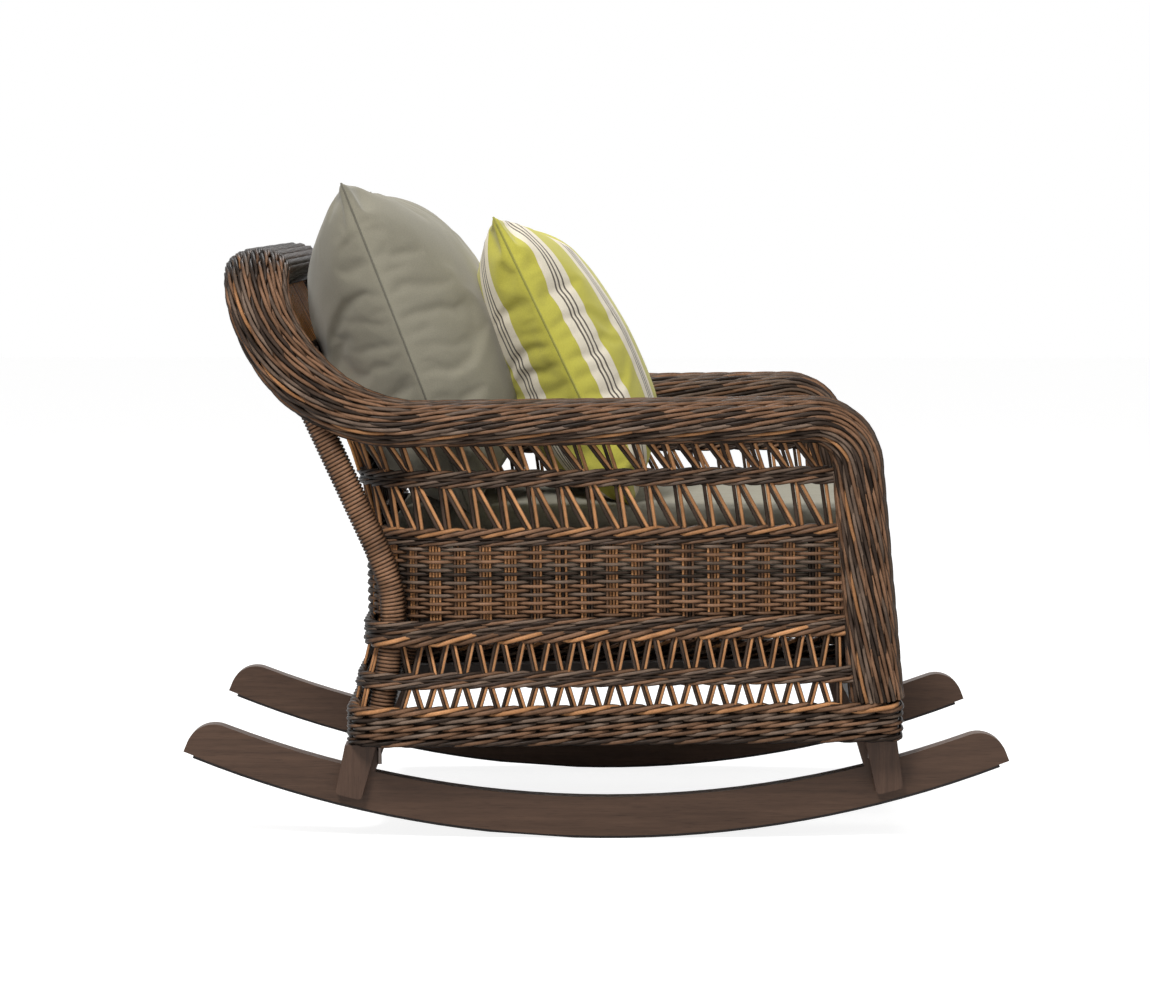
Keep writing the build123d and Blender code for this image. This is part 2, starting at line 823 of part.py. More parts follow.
def seat_deck():
    """The strap deck: a flat panel on the seat rails, round at the rear corners."""
    rear = back_x + wall_thickness / 2 + fit
    front = side_front_x(deck_bottom, wall_y) - fit
    half_width = wall_y - wall_thickness / 2 - fit
    corner = wall_corner - wall_thickness / 2 - fit
    lip = post_x(deck_bottom) + rail_size / 2
    inner_half = front_half_width()
    edges = [
        Line((front, -half_width), (rear + corner, -half_width)),
        *u_outline(rear, half_width, corner),
        Polyline(
            (rear + corner, half_width),
            (front, half_width),
            (front, inner_half),
            (lip, inner_half),
            (lip, -inner_half),
            (front, -inner_half),
            (front, -half_width),
        ),
    ]
    return extrude(Pos(0, 0, deck_bottom) * make_face(edges), amount=deck_thickness)


# --- cushions ---------------------------------------------------------------------------------------


def seat_cushion():
    rear = back_x + wall_thickness / 2 + seat_cushion_rear_gap
    front = front_wall_x + front_border_thickness / 2
    length = front - rear
    low = deck_top + fit
    block = Pos((front + rear) / 2, 0, low + seat_cushion_height / 2) * Box(
        length, 2 * (roll_inner_y - seat_cushion_side_gap), seat_cushion_height
    )
    upright = block.edges().filter_by(Axis.Z)
    rear_edges = upright.sort_by(Axis.X)[:2]
    block = fillet(rear_edges, seat_cushion_rear_corner)
    front_edges = block.edges().filter_by(Axis.Z).sort_by(Axis.X)[-2:]
    block = fillet(front_edges, seat_cushion_edge)
    rims = block.faces().sort_by(Axis.Z)[-1].edges() + block.faces().sort_by(Axis.Z)[0].edges()
    return fillet(rims, seat_cushion_edge)


def lens_face(half_width, half_thickness, z):
    """A cut through a pillow: two arcs that meet at the side seams; x is its thickness."""
    near, far = (0, -half_width), (0, half_width)
    front = ThreePointArc(near, (half_thickness, 0), far)
    rear = ThreePointArc(near, (-half_thickness, 0), far)
    return Pos(0, 0, z) * make_face([front, rear])


def pillow_blank(width, height, half_thickness):
    """A knife-edge pillow: full in the middle, thin at all four edges, drawn in between its corners."""
    upper = [(1.0, pillow_edge_share), *pillow_fullness]
    stations = upper + [(0.0, 1.0)] + [(-place, share) for place, share in reversed(upper)]
    faces = []
    for place, share in reversed(stations):
        half_width = width / 2 * (1 - pillow_waist * (1 - place**2))
        faces.append(lens_face(half_width, share * half_thickness, place * height / 2))
    return loft(faces, ruled=True)


def pillow(width, height, half_thickness, foot_x, lean):
    foot_z = seat_top + fit + pillow_edge_share * half_thickness * sin(radians(lean))
    middle_x = foot_x - height / 2 * sin(radians(lean))
    middle_z = foot_z + height / 2 * cos(radians(lean))
    return Pos(middle_x, 0, middle_z) * Rot(0, -lean, 0) * pillow_blank(width, height, half_thickness)


# --- the whole rocker -------------------------------------------------------------------------------


def both_sides(name, shape):
    return {f"{name}_right": shape, f"{name}_left": other_side(shape)}


def fasteners(shapes):
    return Compound(shapes + [other_side(shape) for shape in shapes])


def running_gear():
    """Rockers, treads, legs and their bolts and screws, standing on the floor."""
    legs = [("rear", rear_leg_x, rear_leg_lean), ("front", front_leg_x, front_leg_lean)]
    nodes = {}
    blank = rocker_blank()
    rocker = blank
    all_bolts, all_screws = [], []
    for name, x, lean in legs:
        bolts = leg_bolts(x, lean)
        screws = leg_screws(x)
        leg = leg_blank(x, lean) - blank
        for fastener in bolts + screws:
            leg = leg - fastener
        for bolt in bolts:
            middle = bolt.center()
            recess_start = (middle.X, -rocker_inner_y, middle.Z)
            rocker = rocker - bolt - cylinder_along(recess_start, (0, -1, 0), bolt_head_radius, fit)
        all_bolts += bolts
        all_screws += screws
        nodes.update(both_sides(f"leg_{name}", leg))
    nodes.update(both_sides("rocker", rocker))
    nodes.update(both_sides("rocker_tread", tread()))
    nodes["leg_bolts"] = fasteners(all_bolts)
    nodes["leg_screws"] = fasteners(all_screws)
    return nodes


def shared_shapes():
    """Right-hand blanks that several parts are cut from or trimmed by."""
    post_edges = rear_post_path(-rear_post_y())
    room = round_bar(post_edges, wrap_radius + fit)
    roll = loft(arm_roll_sections(), ruled=True) - slab(base_top - 4 * over, base_top)
    return {
        "tube_core": round_bar(tube_path(-roll_y), tube_radius),
        "post_wrap": round_bar(post_edges, wrap_radius),
        "post_core": round_bar(post_edges, core_radius),
        "post_hollow": round_bar(post_edges, core_radius - tube_wall),
        "post_room": room + other_side(room),
        "roll": roll,
        "both_rolls": roll + other_side(roll),
        "head_bar": head_roll_bar(),
        "seat_rail": seat_side_rail(),
    }


def largest(shape):
    return max(shape.solids(), key=lambda solid: solid.volume)


def tube_frame(blanks):
    nodes = both_sides("arm_tube", arm_tube(-roll_y))
    nodes["head_tube"] = head_tube()
    post = largest(blanks["post_core"] - blanks["tube_core"] - below_rail_top()) - blanks["post_hollow"]
    nodes.update(both_sides("back_post", post))
    return nodes


def rolls(blanks):
    roll = blanks["roll"] - blanks["tube_core"] - blanks["post_core"] - blanks["seat_rail"]
    sleeve = largest(blanks["post_wrap"] - blanks["post_core"] - blanks["roll"] - slab(0, base_top))
    nodes = both_sides("arm_roll", roll)
    nodes.update(both_sides("back_post_wrap", sleeve))
    nodes["head_roll"] = blanks["head_bar"] - head_tube_bar(tube_radius)
    return nodes


def base(blanks):
    ring = base_ring() - blanks["post_room"]
    rail = base_side_rail()
    for screw in leg_screws(rear_leg_x) + leg_screws(front_leg_x):
        rail = rail - settle_back(screw)
    inset = base_wall + fit + rail_size / 2
    nodes = both_sides("base_braid", ring & base_cut("side"))
    nodes["base_braid_front"] = ring & base_cut("front")
    nodes["base_braid_rear"] = ring & base_cut("rear")
    nodes.update(both_sides("base_rail", rail))
    nodes["base_rail_front"] = base_cross_rail(base_front_x - inset)
    nodes["base_rail_rear"] = base_cross_rail(base_rear_x + inset)
    return nodes


def seat_frame(blanks):
    nodes = both_sides("seat_rail", blanks["seat_rail"])
    nodes["seat_rail_front"] = seat_front_rail()
    nodes["seat_rail_rear"] = seat_rear_rail()
    nodes["seat_deck"] = seat_deck()
    return nodes


def skirt(blanks):
    """The open band round the foot: a lattice, a twined band and a second lattice."""
    low, high = skirt_band_bottom, skirt_band_top
    gaps = [(base_top, low), (high, skirt_top)]
    nodes = both_sides("skirt_band", skirt_band(low, high, border_thickness) - blanks["roll"])
    nodes["skirt_band_front"] = front_band(low, high, border_thickness)
    nodes["skirt_band_rear"] = skirt_rear_band(low, high, border_thickness) - blanks["post_room"]
    side_stakes = Compound([leaning_lattice(*gap) - blanks["roll"] for gap in gaps])
    nodes.update(both_sides("skirt_stakes", side_stakes))
    rear_stakes = []
    for gap in gaps:
        for group in skirt_rear_lattice(*gap):
            rear_stakes += (group - blanks["post_room"]).solids()
    nodes["skirt_stakes_rear"] = Compound(rear_stakes)
    nodes["skirt_stakes_front"] = Compound([skirt_front_lattice(*gap) for gap in gaps])
    nodes["front_border"] = front_band(skirt_top, front_border_top, front_border_thickness)
    return nodes


def side_stakes(blanks):
    high = upright_lattice(band_top, arm_bottom) - blanks["roll"]
    return Compound([upright_lattice(panel_top, band_bottom), high])


def back_stakes(blanks):
    """A lattice above the close weave, then upright ribs to the head roll and short stakes at the corners."""
    limit = back_half_width - rib_radius
    head_bottom = head_place()[1] - head_half_height
    corners = []
    for stake in back_uprights(band_top, arm_z, back_half_width, wall_y, stake_radius):
        pieces = (stake - blanks["both_rolls"]).solids()
        corners.append(min(pieces, key=lambda piece: piece.center().Z))
    ribs = back_uprights(band_top, head_band_bottom, 0, limit, rib_radius)
    for rib in back_uprights(head_band_top, head_bottom + over, 0, limit, rib_radius):
        ribs.append(rib - blanks["head_bar"])
    return Compound([*back_lattice(panel_top, band_bottom), *ribs, *corners])


def walls(blanks):
    nodes = both_sides("side_panel", side_panel())
    nodes["back_panel"] = back_panel()
    nodes.update(both_sides("side_band", wall_band(band_bottom, band_top, border_thickness)))
    nodes["back_band"] = rear_band(band_bottom, band_top, border_thickness)
    nodes["head_band"] = bounded_back_band(head_band_bottom, head_band_top)
    nodes.update(both_sides("side_stakes", side_stakes(blanks)))
    nodes["back_stakes"] = back_stakes(blanks)
    return nodes


def cushions():
    width = 2 * (roll_inner_y - pillow_side_gap)
    back = pillow(width, pillow_height, pillow_half_thickness, pillow_foot_x, pillow_lean)
    throw = pillow(throw_size, throw_size, throw_half_thickness, throw_foot_x, throw_lean)
    return {"seat_cushion": seat_cushion(), "back_cushion": back, "throw_pillow": throw}


def build():
    nodes = running_gear()
    blanks = shared_shapes()
    for group in (tube_frame, rolls, base, seat_frame, skirt, walls):
        for name, shape in group(blanks).items():
            nodes[name] = settle(shape)
    for name, shape in cushions().items():
        nodes[name] = settle(shape)
    return nodes


os.makedirs("parts", exist_ok=True)
for node_name, node_shape in build().items():
    export_step(node_shape, f"parts/{node_name}.step")
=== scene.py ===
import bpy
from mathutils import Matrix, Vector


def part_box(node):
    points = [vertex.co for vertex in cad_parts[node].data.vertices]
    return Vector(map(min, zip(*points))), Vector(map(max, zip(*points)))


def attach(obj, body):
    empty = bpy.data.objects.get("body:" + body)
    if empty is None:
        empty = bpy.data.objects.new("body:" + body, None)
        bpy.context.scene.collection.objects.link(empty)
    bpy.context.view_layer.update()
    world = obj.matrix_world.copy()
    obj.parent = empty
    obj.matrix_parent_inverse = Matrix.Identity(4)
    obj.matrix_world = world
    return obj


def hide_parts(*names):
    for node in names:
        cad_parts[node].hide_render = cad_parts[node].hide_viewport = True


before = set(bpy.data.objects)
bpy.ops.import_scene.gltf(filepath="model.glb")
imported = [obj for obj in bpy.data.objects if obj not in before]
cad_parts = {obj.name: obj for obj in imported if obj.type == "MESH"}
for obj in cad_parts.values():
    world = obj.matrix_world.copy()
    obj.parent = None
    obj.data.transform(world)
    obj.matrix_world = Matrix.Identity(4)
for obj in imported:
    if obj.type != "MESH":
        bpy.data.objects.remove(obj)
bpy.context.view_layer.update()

import random
from math import atan2, cos, hypot, pi, radians, sin, sqrt, tan

import bmesh
import bpy
from mathutils import Matrix, Vector

chance = random.Random(11)
scene = bpy.context.scene
print("frame loaded:", len(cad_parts), "CAD nodes")

# Shape of the chair in metres, drawn level; the woven body is then tipped about its pivot.
chair = {
    "pitch": 0.75,  # degrees, front up
    "pivot": (0.040, 0.138),
    "baseTop": 0.194,
    "baseFront": 0.426,
    "baseRear": -0.348,
    "baseHalf": 0.382,
    "baseWall": 0.022,
    "baseCorner": 0.060,
    "baseFrontCorner": 0.028,
    "skirtTop": 0.278,
    "skirtStep": 0.006,
    "skirtClimb": 0.0078,  # the rows below the close weave rise this much towards the front
    "climbIn": 0.081,  # heights over which the climb comes in and goes out
    "climbOut": 0.029,
    "climbStart": -0.28,
    "climbRun": 0.60,
    "wallHalf": 0.346,
    "wallCorner": 0.130,
    "wallEnd": 0.029,  # from the line of the front posts
    "backX": -0.315,
    "bendZ": 0.510,
    "bendRadius": 0.400,
    "headX": -0.442,
    "headZ": 0.762,
    "backHalf": 0.293,
    "weaveLow": 0.313,
    "coverCorner": 0.045,  # the lower border passes outside the rear posts
    "coverStart": (-0.175, -0.245),
    "coverSide": (0.30, 0.05),  # distance from the middle where the cover starts, and its fade
    "coverStep": 0.0145,
    "frontX": 0.403,
    "rollHalf": 0.348,
    "rollInner": 0.304,
    "postFoot": 0.389,
    "postLean": 4.15,
    "armZ": 0.584,
    "wingX": -0.244,
    "wingRadius": 0.217,
    "postOuter": 0.3415,
}

bodyTilt = (
    Matrix.Translation((chair["pivot"][0], 0, chair["pivot"][1]))
    @ Matrix.Rotation(-radians(chair["pitch"]), 4, "Y")
    @ Matrix.Translation((-chair["pivot"][0], 0, -chair["pivot"][1]))
)


def clamped(share):
    return min(max(share, 0), 1)


def blended(low, high, share):
    return low + (high - low) * share


def shares(length, step, whole=False):
    # Even shares of a length from 0 up to 1; 1 itself only where the whole run is wanted.
    count = round(length / step)
    return [i / count for i in range(count + whole)]


def skirtShare(z):
    return clamped((chair["skirtTop"] - z) / (chair["skirtTop"] - chair["baseTop"]))


def skirtHalf(z):
    head = chair["wallHalf"] + chair["skirtStep"]
    return blended(head, chair["baseHalf"] - chair["baseWall"] / 2, skirtShare(z))


def skirtRearX(z):
    return blended(chair["backX"], chair["baseRear"] + chair["baseWall"] / 2, skirtShare(z))


def skirtFrontX(z):
    return blended(chair["frontX"], chair["baseFront"] - chair["baseWall"] / 2, skirtShare(z))


def skirtLift(x, z):
    rise = clamped((z - chair["baseTop"]) / chair["climbIn"])
    rise = min(rise, clamped((chair["weaveLow"] - z) / chair["climbOut"]))
    return chair["skirtClimb"] * rise * clamped((x - chair["climbStart"]) / chair["climbRun"])


def backMiddleX(z):
    # Upright, then an arc, then a straight lean to the head.
    lean = atan2(chair["backX"] - chair["headX"], chair["headZ"] - chair["bendZ"])
    run = chair["bendRadius"] * tan(lean / 2)
    low, high = chair["bendZ"] - run, chair["bendZ"] + run * cos(lean)
    if z <= low:
        return chair["backX"]
    if z < high:
        return chair["backX"] - chair["bendRadius"] + sqrt(chair["bendRadius"] ** 2 - (z - low) ** 2)
    return chair["backX"] - (z - chair["bendZ"]) * tan(lean)


def postX(z):
    return chair["postFoot"] - (z - chair["baseTop"]) * tan(radians(chair["postLean"]))


# Materials


def nodeTree(name):
    material = bpy.data.materials.new(name)
    material.use_nodes = True
    tree = material.node_tree
    return material, tree, tree.nodes["Principled BSDF"]


def setSockets(tree, node, values):
    # A value is a constant or another node's output.
    for socket, value in values:
        if hasattr(value, "links"):
            tree.links.new(value, node.inputs[socket])
        else:
            node.inputs[socket].default_value = value
    return node


def addNode(tree, kind, values=(), **settings):
    node = tree.nodes.new("ShaderNode" + kind)
    for key, setting in settings.items():
        setattr(node, key, setting)
    return setSockets(tree, node, values)


def addMath(tree, first, second, operation="MULTIPLY"):
    return addNode(tree, "Math", [(0, first), (1, second)], operation=operation).outputs[0]


def addVectorMath(tree, first, second, operation):
    return addNode(tree, "VectorMath", [(0, first), (1, second)], operation=operation).outputs[0]


def addMix(tree, factor, first, second, blend="MIX"):
    values = [(0, factor), (6, first), (7, second)]
    return addNode(tree, "Mix", values, data_type="RGBA", blend_type=blend).outputs[2]


def addTint(tree, colour, factor):
    # The colour made lighter or darker by a factor.
    lit = addNode(tree, "CombineColor", [(0, factor), (1, factor), (2, factor)])
    return addMix(tree, 1.0, colour, lit.outputs[0], "MULTIPLY")


def addRange(tree, value, low, high, toLow, toHigh):
    values = [("Value", value), ("From Min", low), ("From Max", high), ("To Min", toLow), ("To Max", toHigh)]
    return addNode(tree, "MapRange", values).outputs["Result"]


def addPlace(tree):
    return addNode(tree, "TexCoord").outputs["Object"]


def addNoise(tree, place, scale, detail, more=()):
    values = [("Vector", place), ("Scale", scale), ("Detail", detail), *more]
    return addNode(tree, "TexNoise", values).outputs["Fac"]


def addBump(tree, height, strength, distance, more=()):
    values = [("Height", height), ("Strength", strength), ("Distance", distance), *more]
    return addNode(tree, "Bump", values).outputs["Normal"]


def newGroup(name, inputs, outputs=("Color", "Roughness", "Height")):
    # Inputs that start from None are colours, and so is the output Color; the rest are values.
    group = bpy.data.node_groups.new(name, "ShaderNodeTree")
    for label, value in inputs.items():
        kind = "NodeSocketColor" if value is None else "NodeSocketFloat"
        socket = group.interface.new_socket(name=label, in_out="INPUT", socket_type=kind)
        if value is not None:
            socket.default_value = value
    for label in outputs:
        kind = "NodeSocketColor" if label == "Color" else "NodeSocketFloat"
        group.interface.new_socket(name=label, in_out="OUTPUT", socket_type=kind)
    return group, group.nodes.new("NodeGroupInput").outputs, group.nodes.new("NodeGroupOutput")


def caneGroup():
    # Streaked resin cane: strands differ a little, and each is darker towards its edges, which is painted
    # shade that stands in for the shading round each strand.
    inputs = {"Dark": None, "Light": None, "Strand": 0.0, "Facing": 0.0, "Streak Scale": 22.0}
    group, given, put = newGroup("caneStreaks", inputs)
    place = addPlace(group)
    shift = addVectorMath(group, given["Strand"], (31.0, 17.0, 23.0), "MULTIPLY")
    moved = addVectorMath(group, place, shift, "ADD")
    streaks = addNoise(group, moved, given["Streak Scale"], 3.0, [("Roughness", 0.6)])
    fine = addNoise(group, place, 620.0, 2.0)
    tone = addMix(group, addRange(group, streaks, 0.33, 0.67, 0.0, 1.0), given["Dark"], given["Light"])
    grainy = addTint(group, tone, addRange(group, fine, 0.3, 0.7, 0.82, 1.16))
    spread = addRange(group, given["Strand"], 0.0, 1.0, 0.75, 1.25)
    # Painted shade: darker where the surface turns away from the view, by Layer Weight facing.
    edge = addRange(group, given["Facing"], 0.15, 0.72, 1.0, 0.10)
    colour = addTint(group, grainy, addMath(group, spread, edge))
    gloss = addRange(group, fine, 0.3, 0.7, 0.28, 0.42)
    setSockets(group, put, [("Color", colour), ("Roughness", gloss), ("Height", fine)])
    return group


def clothGroup():
    # Plain woven outdoor cloth: fine threads both ways, with soft broad variation.
    inputs = {"Color": None, "Thread Scale": 700.0}
    group, given, put = newGroup("clothWeave", inputs, ("Color", "Height", "Folds"))
    place = addPlace(group)
    threads = addNoise(group, place, given["Thread Scale"], 2.0)
    broad = addNoise(group, place, 9.0, 4.0)
    fine = addRange(group, threads, 0.3, 0.7, 0.90, 1.08)
    soft = addRange(group, broad, 0.3, 0.7, 0.93, 1.05)
    colour = addTint(group, given["Color"], addMath(group, fine, soft))
    # Puckers run away from the seams and fade over the face.
    bent = addNoise(group, place, 13.0, 1.5, [("Distortion", 0.9)])
    seam = addNode(group, "Attribute", attribute_name="stripe")
    near = addRange(group, seam.outputs["Fac"], 0.0, 0.16, 1.0, 0.25)
    setSockets(group, put, [("Color", colour), ("Height", threads), ("Folds", addMath(group, bent, near))])
    return group


def woodGroup():
    # Stained hardwood: long grain along X with darker pores.
    inputs = {"Dark": None, "Light": None, "Turn": 0.0}
    group, given, put = newGroup("woodGrain", inputs)
    values = [("Vector", addPlace(group)), ("Angle", given["Turn"])]
    turned = addNode(group, "VectorRotate", values, rotation_type="Y_AXIS").outputs[0]
    values = [("Vector", turned), ("Scale", (3.0, 60.0, 60.0))]
    along = addNode(group, "Mapping", values).outputs[0]
    grain = addNoise(group, along, 2.2, 6.0, [("Roughness", 0.65)])
    pores = addNoise(group, along, 14.0, 2.0)
    tone = addMix(group, addRange(group, grain, 0.32, 0.68, 0.0, 1.0), given["Dark"], given["Light"])
    colour = addTint(group, tone, addRange(group, pores, 0.30, 0.45, 0.72, 1.0))
    gloss = addRange(group, grain, 0.3, 0.7, 0.42, 0.56)
    setSockets(group, put, [("Color", colour), ("Roughness", gloss), ("Height", pores)])
    return group


def mottleGroup():
    # Painted metal and rubber: slight mottling in the colour and wear in the gloss.
    group, given, put = newGroup("paintMottle", {"Color": None, "Gloss": 0.5})
    mottle = addNoise(group, addPlace(group), 160.0, 4.0)
    colour = addTint(group, given["Color"], addRange(group, mottle, 0.3, 0.7, 0.85, 1.1))
    wear = addMath(group, given["Gloss"], addRange(group, mottle, 0.3, 0.7, -0.08, 0.08), "ADD")
    setSockets(group, put, [("Color", colour), ("Roughness", wear), ("Height", mottle)])
    return group


groups = {"cane": caneGroup(), "cloth": clothGroup(), "wood": woodGroup(), "mottle": mottleGroup()}


def addGroup(tree, name, values):
    return addNode(tree, "Group", values, node_tree=groups[name]).outputs


def finishSurface(tree, surface, tone, strength, distance):
    bump = addBump(tree, tone["Height"], strength, distance)
    values = [("Base Color", tone["Color"]), ("Roughness", tone["Roughness"]), ("Normal", bump)]
    setSockets(tree, surface, values)


def caneMaterial(name, dark, light):
    material, tree, surface = nodeTree(name)
    strand = addNode(tree, "NewGeometry").outputs["Random Per Island"]
    # Layer Weight facing drives the painted edge shade in caneStreaks.
    edgeShadeFacing = addNode(tree, "LayerWeight", [("Blend", 0.5)]).outputs["Facing"]
    values = [("Dark", (*dark, 1)), ("Light", (*light, 1)), ("Strand", strand), ("Facing", edgeShadeFacing)]
    tone = addGroup(tree, "cane", values)
    finishSurface(tree, surface, tone, 0.25, 0.0004)
    surface.inputs["Specular IOR Level"].default_value = 0.07
    return material


def woodMaterial(name, dark, light, turn=0.0):
    material, tree, surface = nodeTree(name)
    tone = addGroup(tree, "wood", [("Dark", (*dark, 1)), ("Light", (*light, 1)), ("Turn", turn)])
    finishSurface(tree, surface, tone, 0.2, 0.0003)
    surface.inputs["Specular IOR Level"].default_value = 0.3
    return material


def plainMaterial(name, colour, roughness, metallic=0.0):
    material, tree, surface = nodeTree(name)
    tone = addGroup(tree, "mottle", [("Color", (*colour, 1)), ("Gloss", roughness)])
    finishSurface(tree, surface, tone, 0.1, 0.0003)
    surface.inputs["Metallic"].default_value = metallic
    return material


def clothMaterial(name, colour):
    # The colour is plain, or a function that adds a pattern's nodes and gives its output.
    material, tree, surface = nodeTree(name)
    tone = addGroup(tree, "cloth", [("Color", colour(tree) if callable(colour) else (*colour, 1))])
    folds = addBump(tree, tone["Folds"], 0.5, 0.009)
    bump = addBump(tree, tone["Height"], 0.35, 0.0005, [("Normal", folds)])
    setSockets(tree, surface, [("Base Color", tone["Color"]), ("Normal", bump)])
    surface.inputs["Roughness"].default_value = 0.9
    surface.inputs["Sheen Weight"].default_value = 0.15
    surface.inputs["Sheen Roughness"].default_value = 0.5
    return material


caneTones = [
    caneMaterial("caneDark", (0.022, 0.015, 0.011), (0.068, 0.045, 0.033)),
    caneMaterial("caneBrown", (0.105, 0.057, 0.033), (0.235, 0.128, 0.074)),
    caneMaterial("caneCopper", (0.290, 0.137, 0.060), (0.530, 0.262, 0.118)),
    caneMaterial("caneGrey", (0.090, 0.062, 0.046), (0.190, 0.132, 0.096)),
    # A lighter copy of the copper for the back canes: painted light that stands in for light shining through
    # them.
    caneMaterial("caneAmberPaintedLight", (0.560, 0.250, 0.085), (0.850, 0.430, 0.170)),
]
dark, brown, copper, grey, paintedLightAmber = range(5)
ropeLinger = 0.45  # a strand lingers on the outside of its turn


# Weaving tools. A line is (points, tone); points are (x, y, z) in metres before the tilt.


def weaveMesh(name, groupsOfLines, closed=False):
    # groupsOfLines: {strand radius: [lines]}, made as round bars and joined in one mesh.
    whole = bmesh.new()
    for radius, lines in groupsOfLines.items():
        curve = bpy.data.curves.new(name, "CURVE")
        curve.dimensions = "3D"
        curve.bevel_depth = radius
        curve.bevel_resolution = 1
        curve.use_fill_caps = True
        for material in caneTones:
            curve.materials.append(material)
        for points, tone in lines:
            spline = curve.splines.new("POLY")
            spline.points.add(len(points) - 1)
            for knot, place in zip(spline.points, points):
                knot.co = (*place, 1)
            spline.use_cyclic_u = closed
            spline.material_index = tone
        holder = bpy.data.objects.new(name, curve)
        scene.collection.objects.link(holder)
        made = bpy.data.meshes.new_from_object(holder)
        whole.from_mesh(made)
        bpy.data.objects.remove(holder)
        bpy.data.meshes.remove(made)
        bpy.data.curves.remove(curve)
    return whole


def newPiece(name, shape, materials):
    mesh = bpy.data.meshes.new(name)
    shape.to_mesh(mesh)
    shape.free()
    for material in materials:
        mesh.materials.append(material)
    mesh.polygons.foreach_set("use_smooth", [True] * len(mesh.polygons))
    piece = bpy.data.objects.new(name, mesh)
    scene.collection.objects.link(piece)
    return piece


def dress(piece, body, nodes=()):
    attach(piece, body)
    if nodes:
        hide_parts(*nodes)
    print("made", piece.name, len(piece.data.polygons), "faces")


def addWicker(name, shape, nodes):
    piece = newPiece(name, shape, caneTones)
    piece.data.transform(bodyTilt)
    dress(piece, "chair", nodes)


def addWeave(name, groupsOfLines, nodes, closed=False):
    addWicker(name, weaveMesh(name, groupsOfLines, closed), nodes)


def rope(stations, swing, sway, period, tones, phase):
    # Three strands twisted together; a station is (run, place, outward, upward).
    lines = []
    for k, tone in enumerate(tones):
        points = []
        for run, place, outward, upward in stations:
            turn = 2 * pi * (run / period + k / len(tones) + phase)
            turn -= ropeLinger * sin(turn)
            points.append(place + outward * (swing * cos(turn)) - upward * (sway * sin(turn)))
        lines.append((points, tone))
    return lines


def shadeStrand(stations):
    # A dark strand through the middle of a rope: painted shade that shows in the gaps between its strands.
    return [station[1] for station in stations], dark


toneWeights = {  # dark, brown, copper, grey
    "rope": (3, 8, 1, 4),
    "head": (9, 1, 0, 0),
    "base": (4, 6, 0, 3),
    "weaver": (3, 9, 1, 3),
    "stake": (1, 3, 5, 0),
}


def pickTones(count, kind="rope"):
    return chance.choices((dark, brown, copper, grey), toneWeights[kind], k=count)


up = Vector((0, 0, 1))


def wallShape(z, skirt=False):
    # Plan of the woven wall at a height: rear face, half width, corner radius, front end.
    if skirt or z < chair["skirtTop"]:
        rear, half, corner = skirtRearX(z), skirtHalf(z), chair["baseCorner"]
    elif z < chair["weaveLow"]:
        rear, half, corner = backMiddleX(z), skirtHalf(z), chair["coverCorner"]
    else:
        rear, half, corner = backMiddleX(z), chair["wallHalf"], chair["wallCorner"]
    return rear, half, corner, postX(z) - chair["wallEnd"]


def wallHalfLength(z):
    rear, half, corner, front = wallShape(z)
    return half - corner + corner * pi / 2 + front - rear - corner


def wallPoint(along, z, skirt=False):
    # A place on the wall; along is measured from the middle of the back, right side negative.
    rear, half, corner, front = wallShape(z, skirt)
    side = -1 if along < 0 else 1
    flat, quarter = half - corner, corner * pi / 2
    reach = abs(along)
    if reach < flat:
        return Vector((rear, side * reach, z)), Vector((-1, 0, 0))
    if reach < flat + quarter:
        angle = (reach - flat) / corner
        return (
            Vector((rear + corner - corner * cos(angle), side * (flat + corner * sin(angle)), z)),
            Vector((-cos(angle), side * sin(angle), 0)),
        )
    return Vector((rear + corner + reach - flat - quarter, side * half, z)), Vector((0, side, 0))


def wallSpot(along, z, skirt=False):
    return wallPoint(along, z, skirt)[0]


def coverPost(place, z):
    # The lower border steps out round the rear posts.
    if not chair["skirtTop"] <= z < chair["weaveLow"]:
        return place
    first, last = chair["coverStart"]
    inside, fade = chair["coverSide"]
    share = clamped((place.x - first) / (last - first)) * clamped((abs(place.y) - inside) / fade)
    side = 1 if place.y > 0 else -1
    return place + Vector((0, side * chair["coverStep"] * share * share * (3 - 2 * share), 0))


def wallStations(z, step, reach=None):
    reach = reach or wallHalfLength(z)
    stations = []
    for share in shares(2 * reach, step, True):
        along = blended(-reach, reach, share)
        place, outward = wallPoint(along, z)
        place = coverPost(place, z)
        stations.append((along, place + up * skirtLift(place.x, z), outward, up))
    return stations


# Rolls: one continuous wrapped rope from the right foot over the arm, wing and head to the left foot.

roll = {
    "rows": 20,
    "strand": 0.0030,
    "swing": 0.0036,
    "sway": 0.38,  # share of a row's width
    "period": 0.112,
    "step": 0.009,
    "headTwist": 0.9,  # the twist tightens across the head
    "headCut": 0.012,  # where the head's piece starts, inside the back's half width
    "coreInset": 0.0075,
    "halfSide": 0.044,
    "footDepth": 0.039,
    "cornerDepth": 0.036,
    "armDepth": 0.033,
    "wingDepth": 0.044,
    "headDepth": 0.047,
    "headSide": 0.031,
    "armCorner": 0.066,
    "wingEnd": 72.0,
    "wingSwell": 1.6,
    "turnRadius": 0.065,
    "footZ": 0.1945,
}


def wingPoint(climb):
    centre = chair["armZ"] + chair["wingRadius"]
    return chair["wingX"] - chair["wingRadius"] * sin(climb), centre - chair["wingRadius"] * cos(climb)


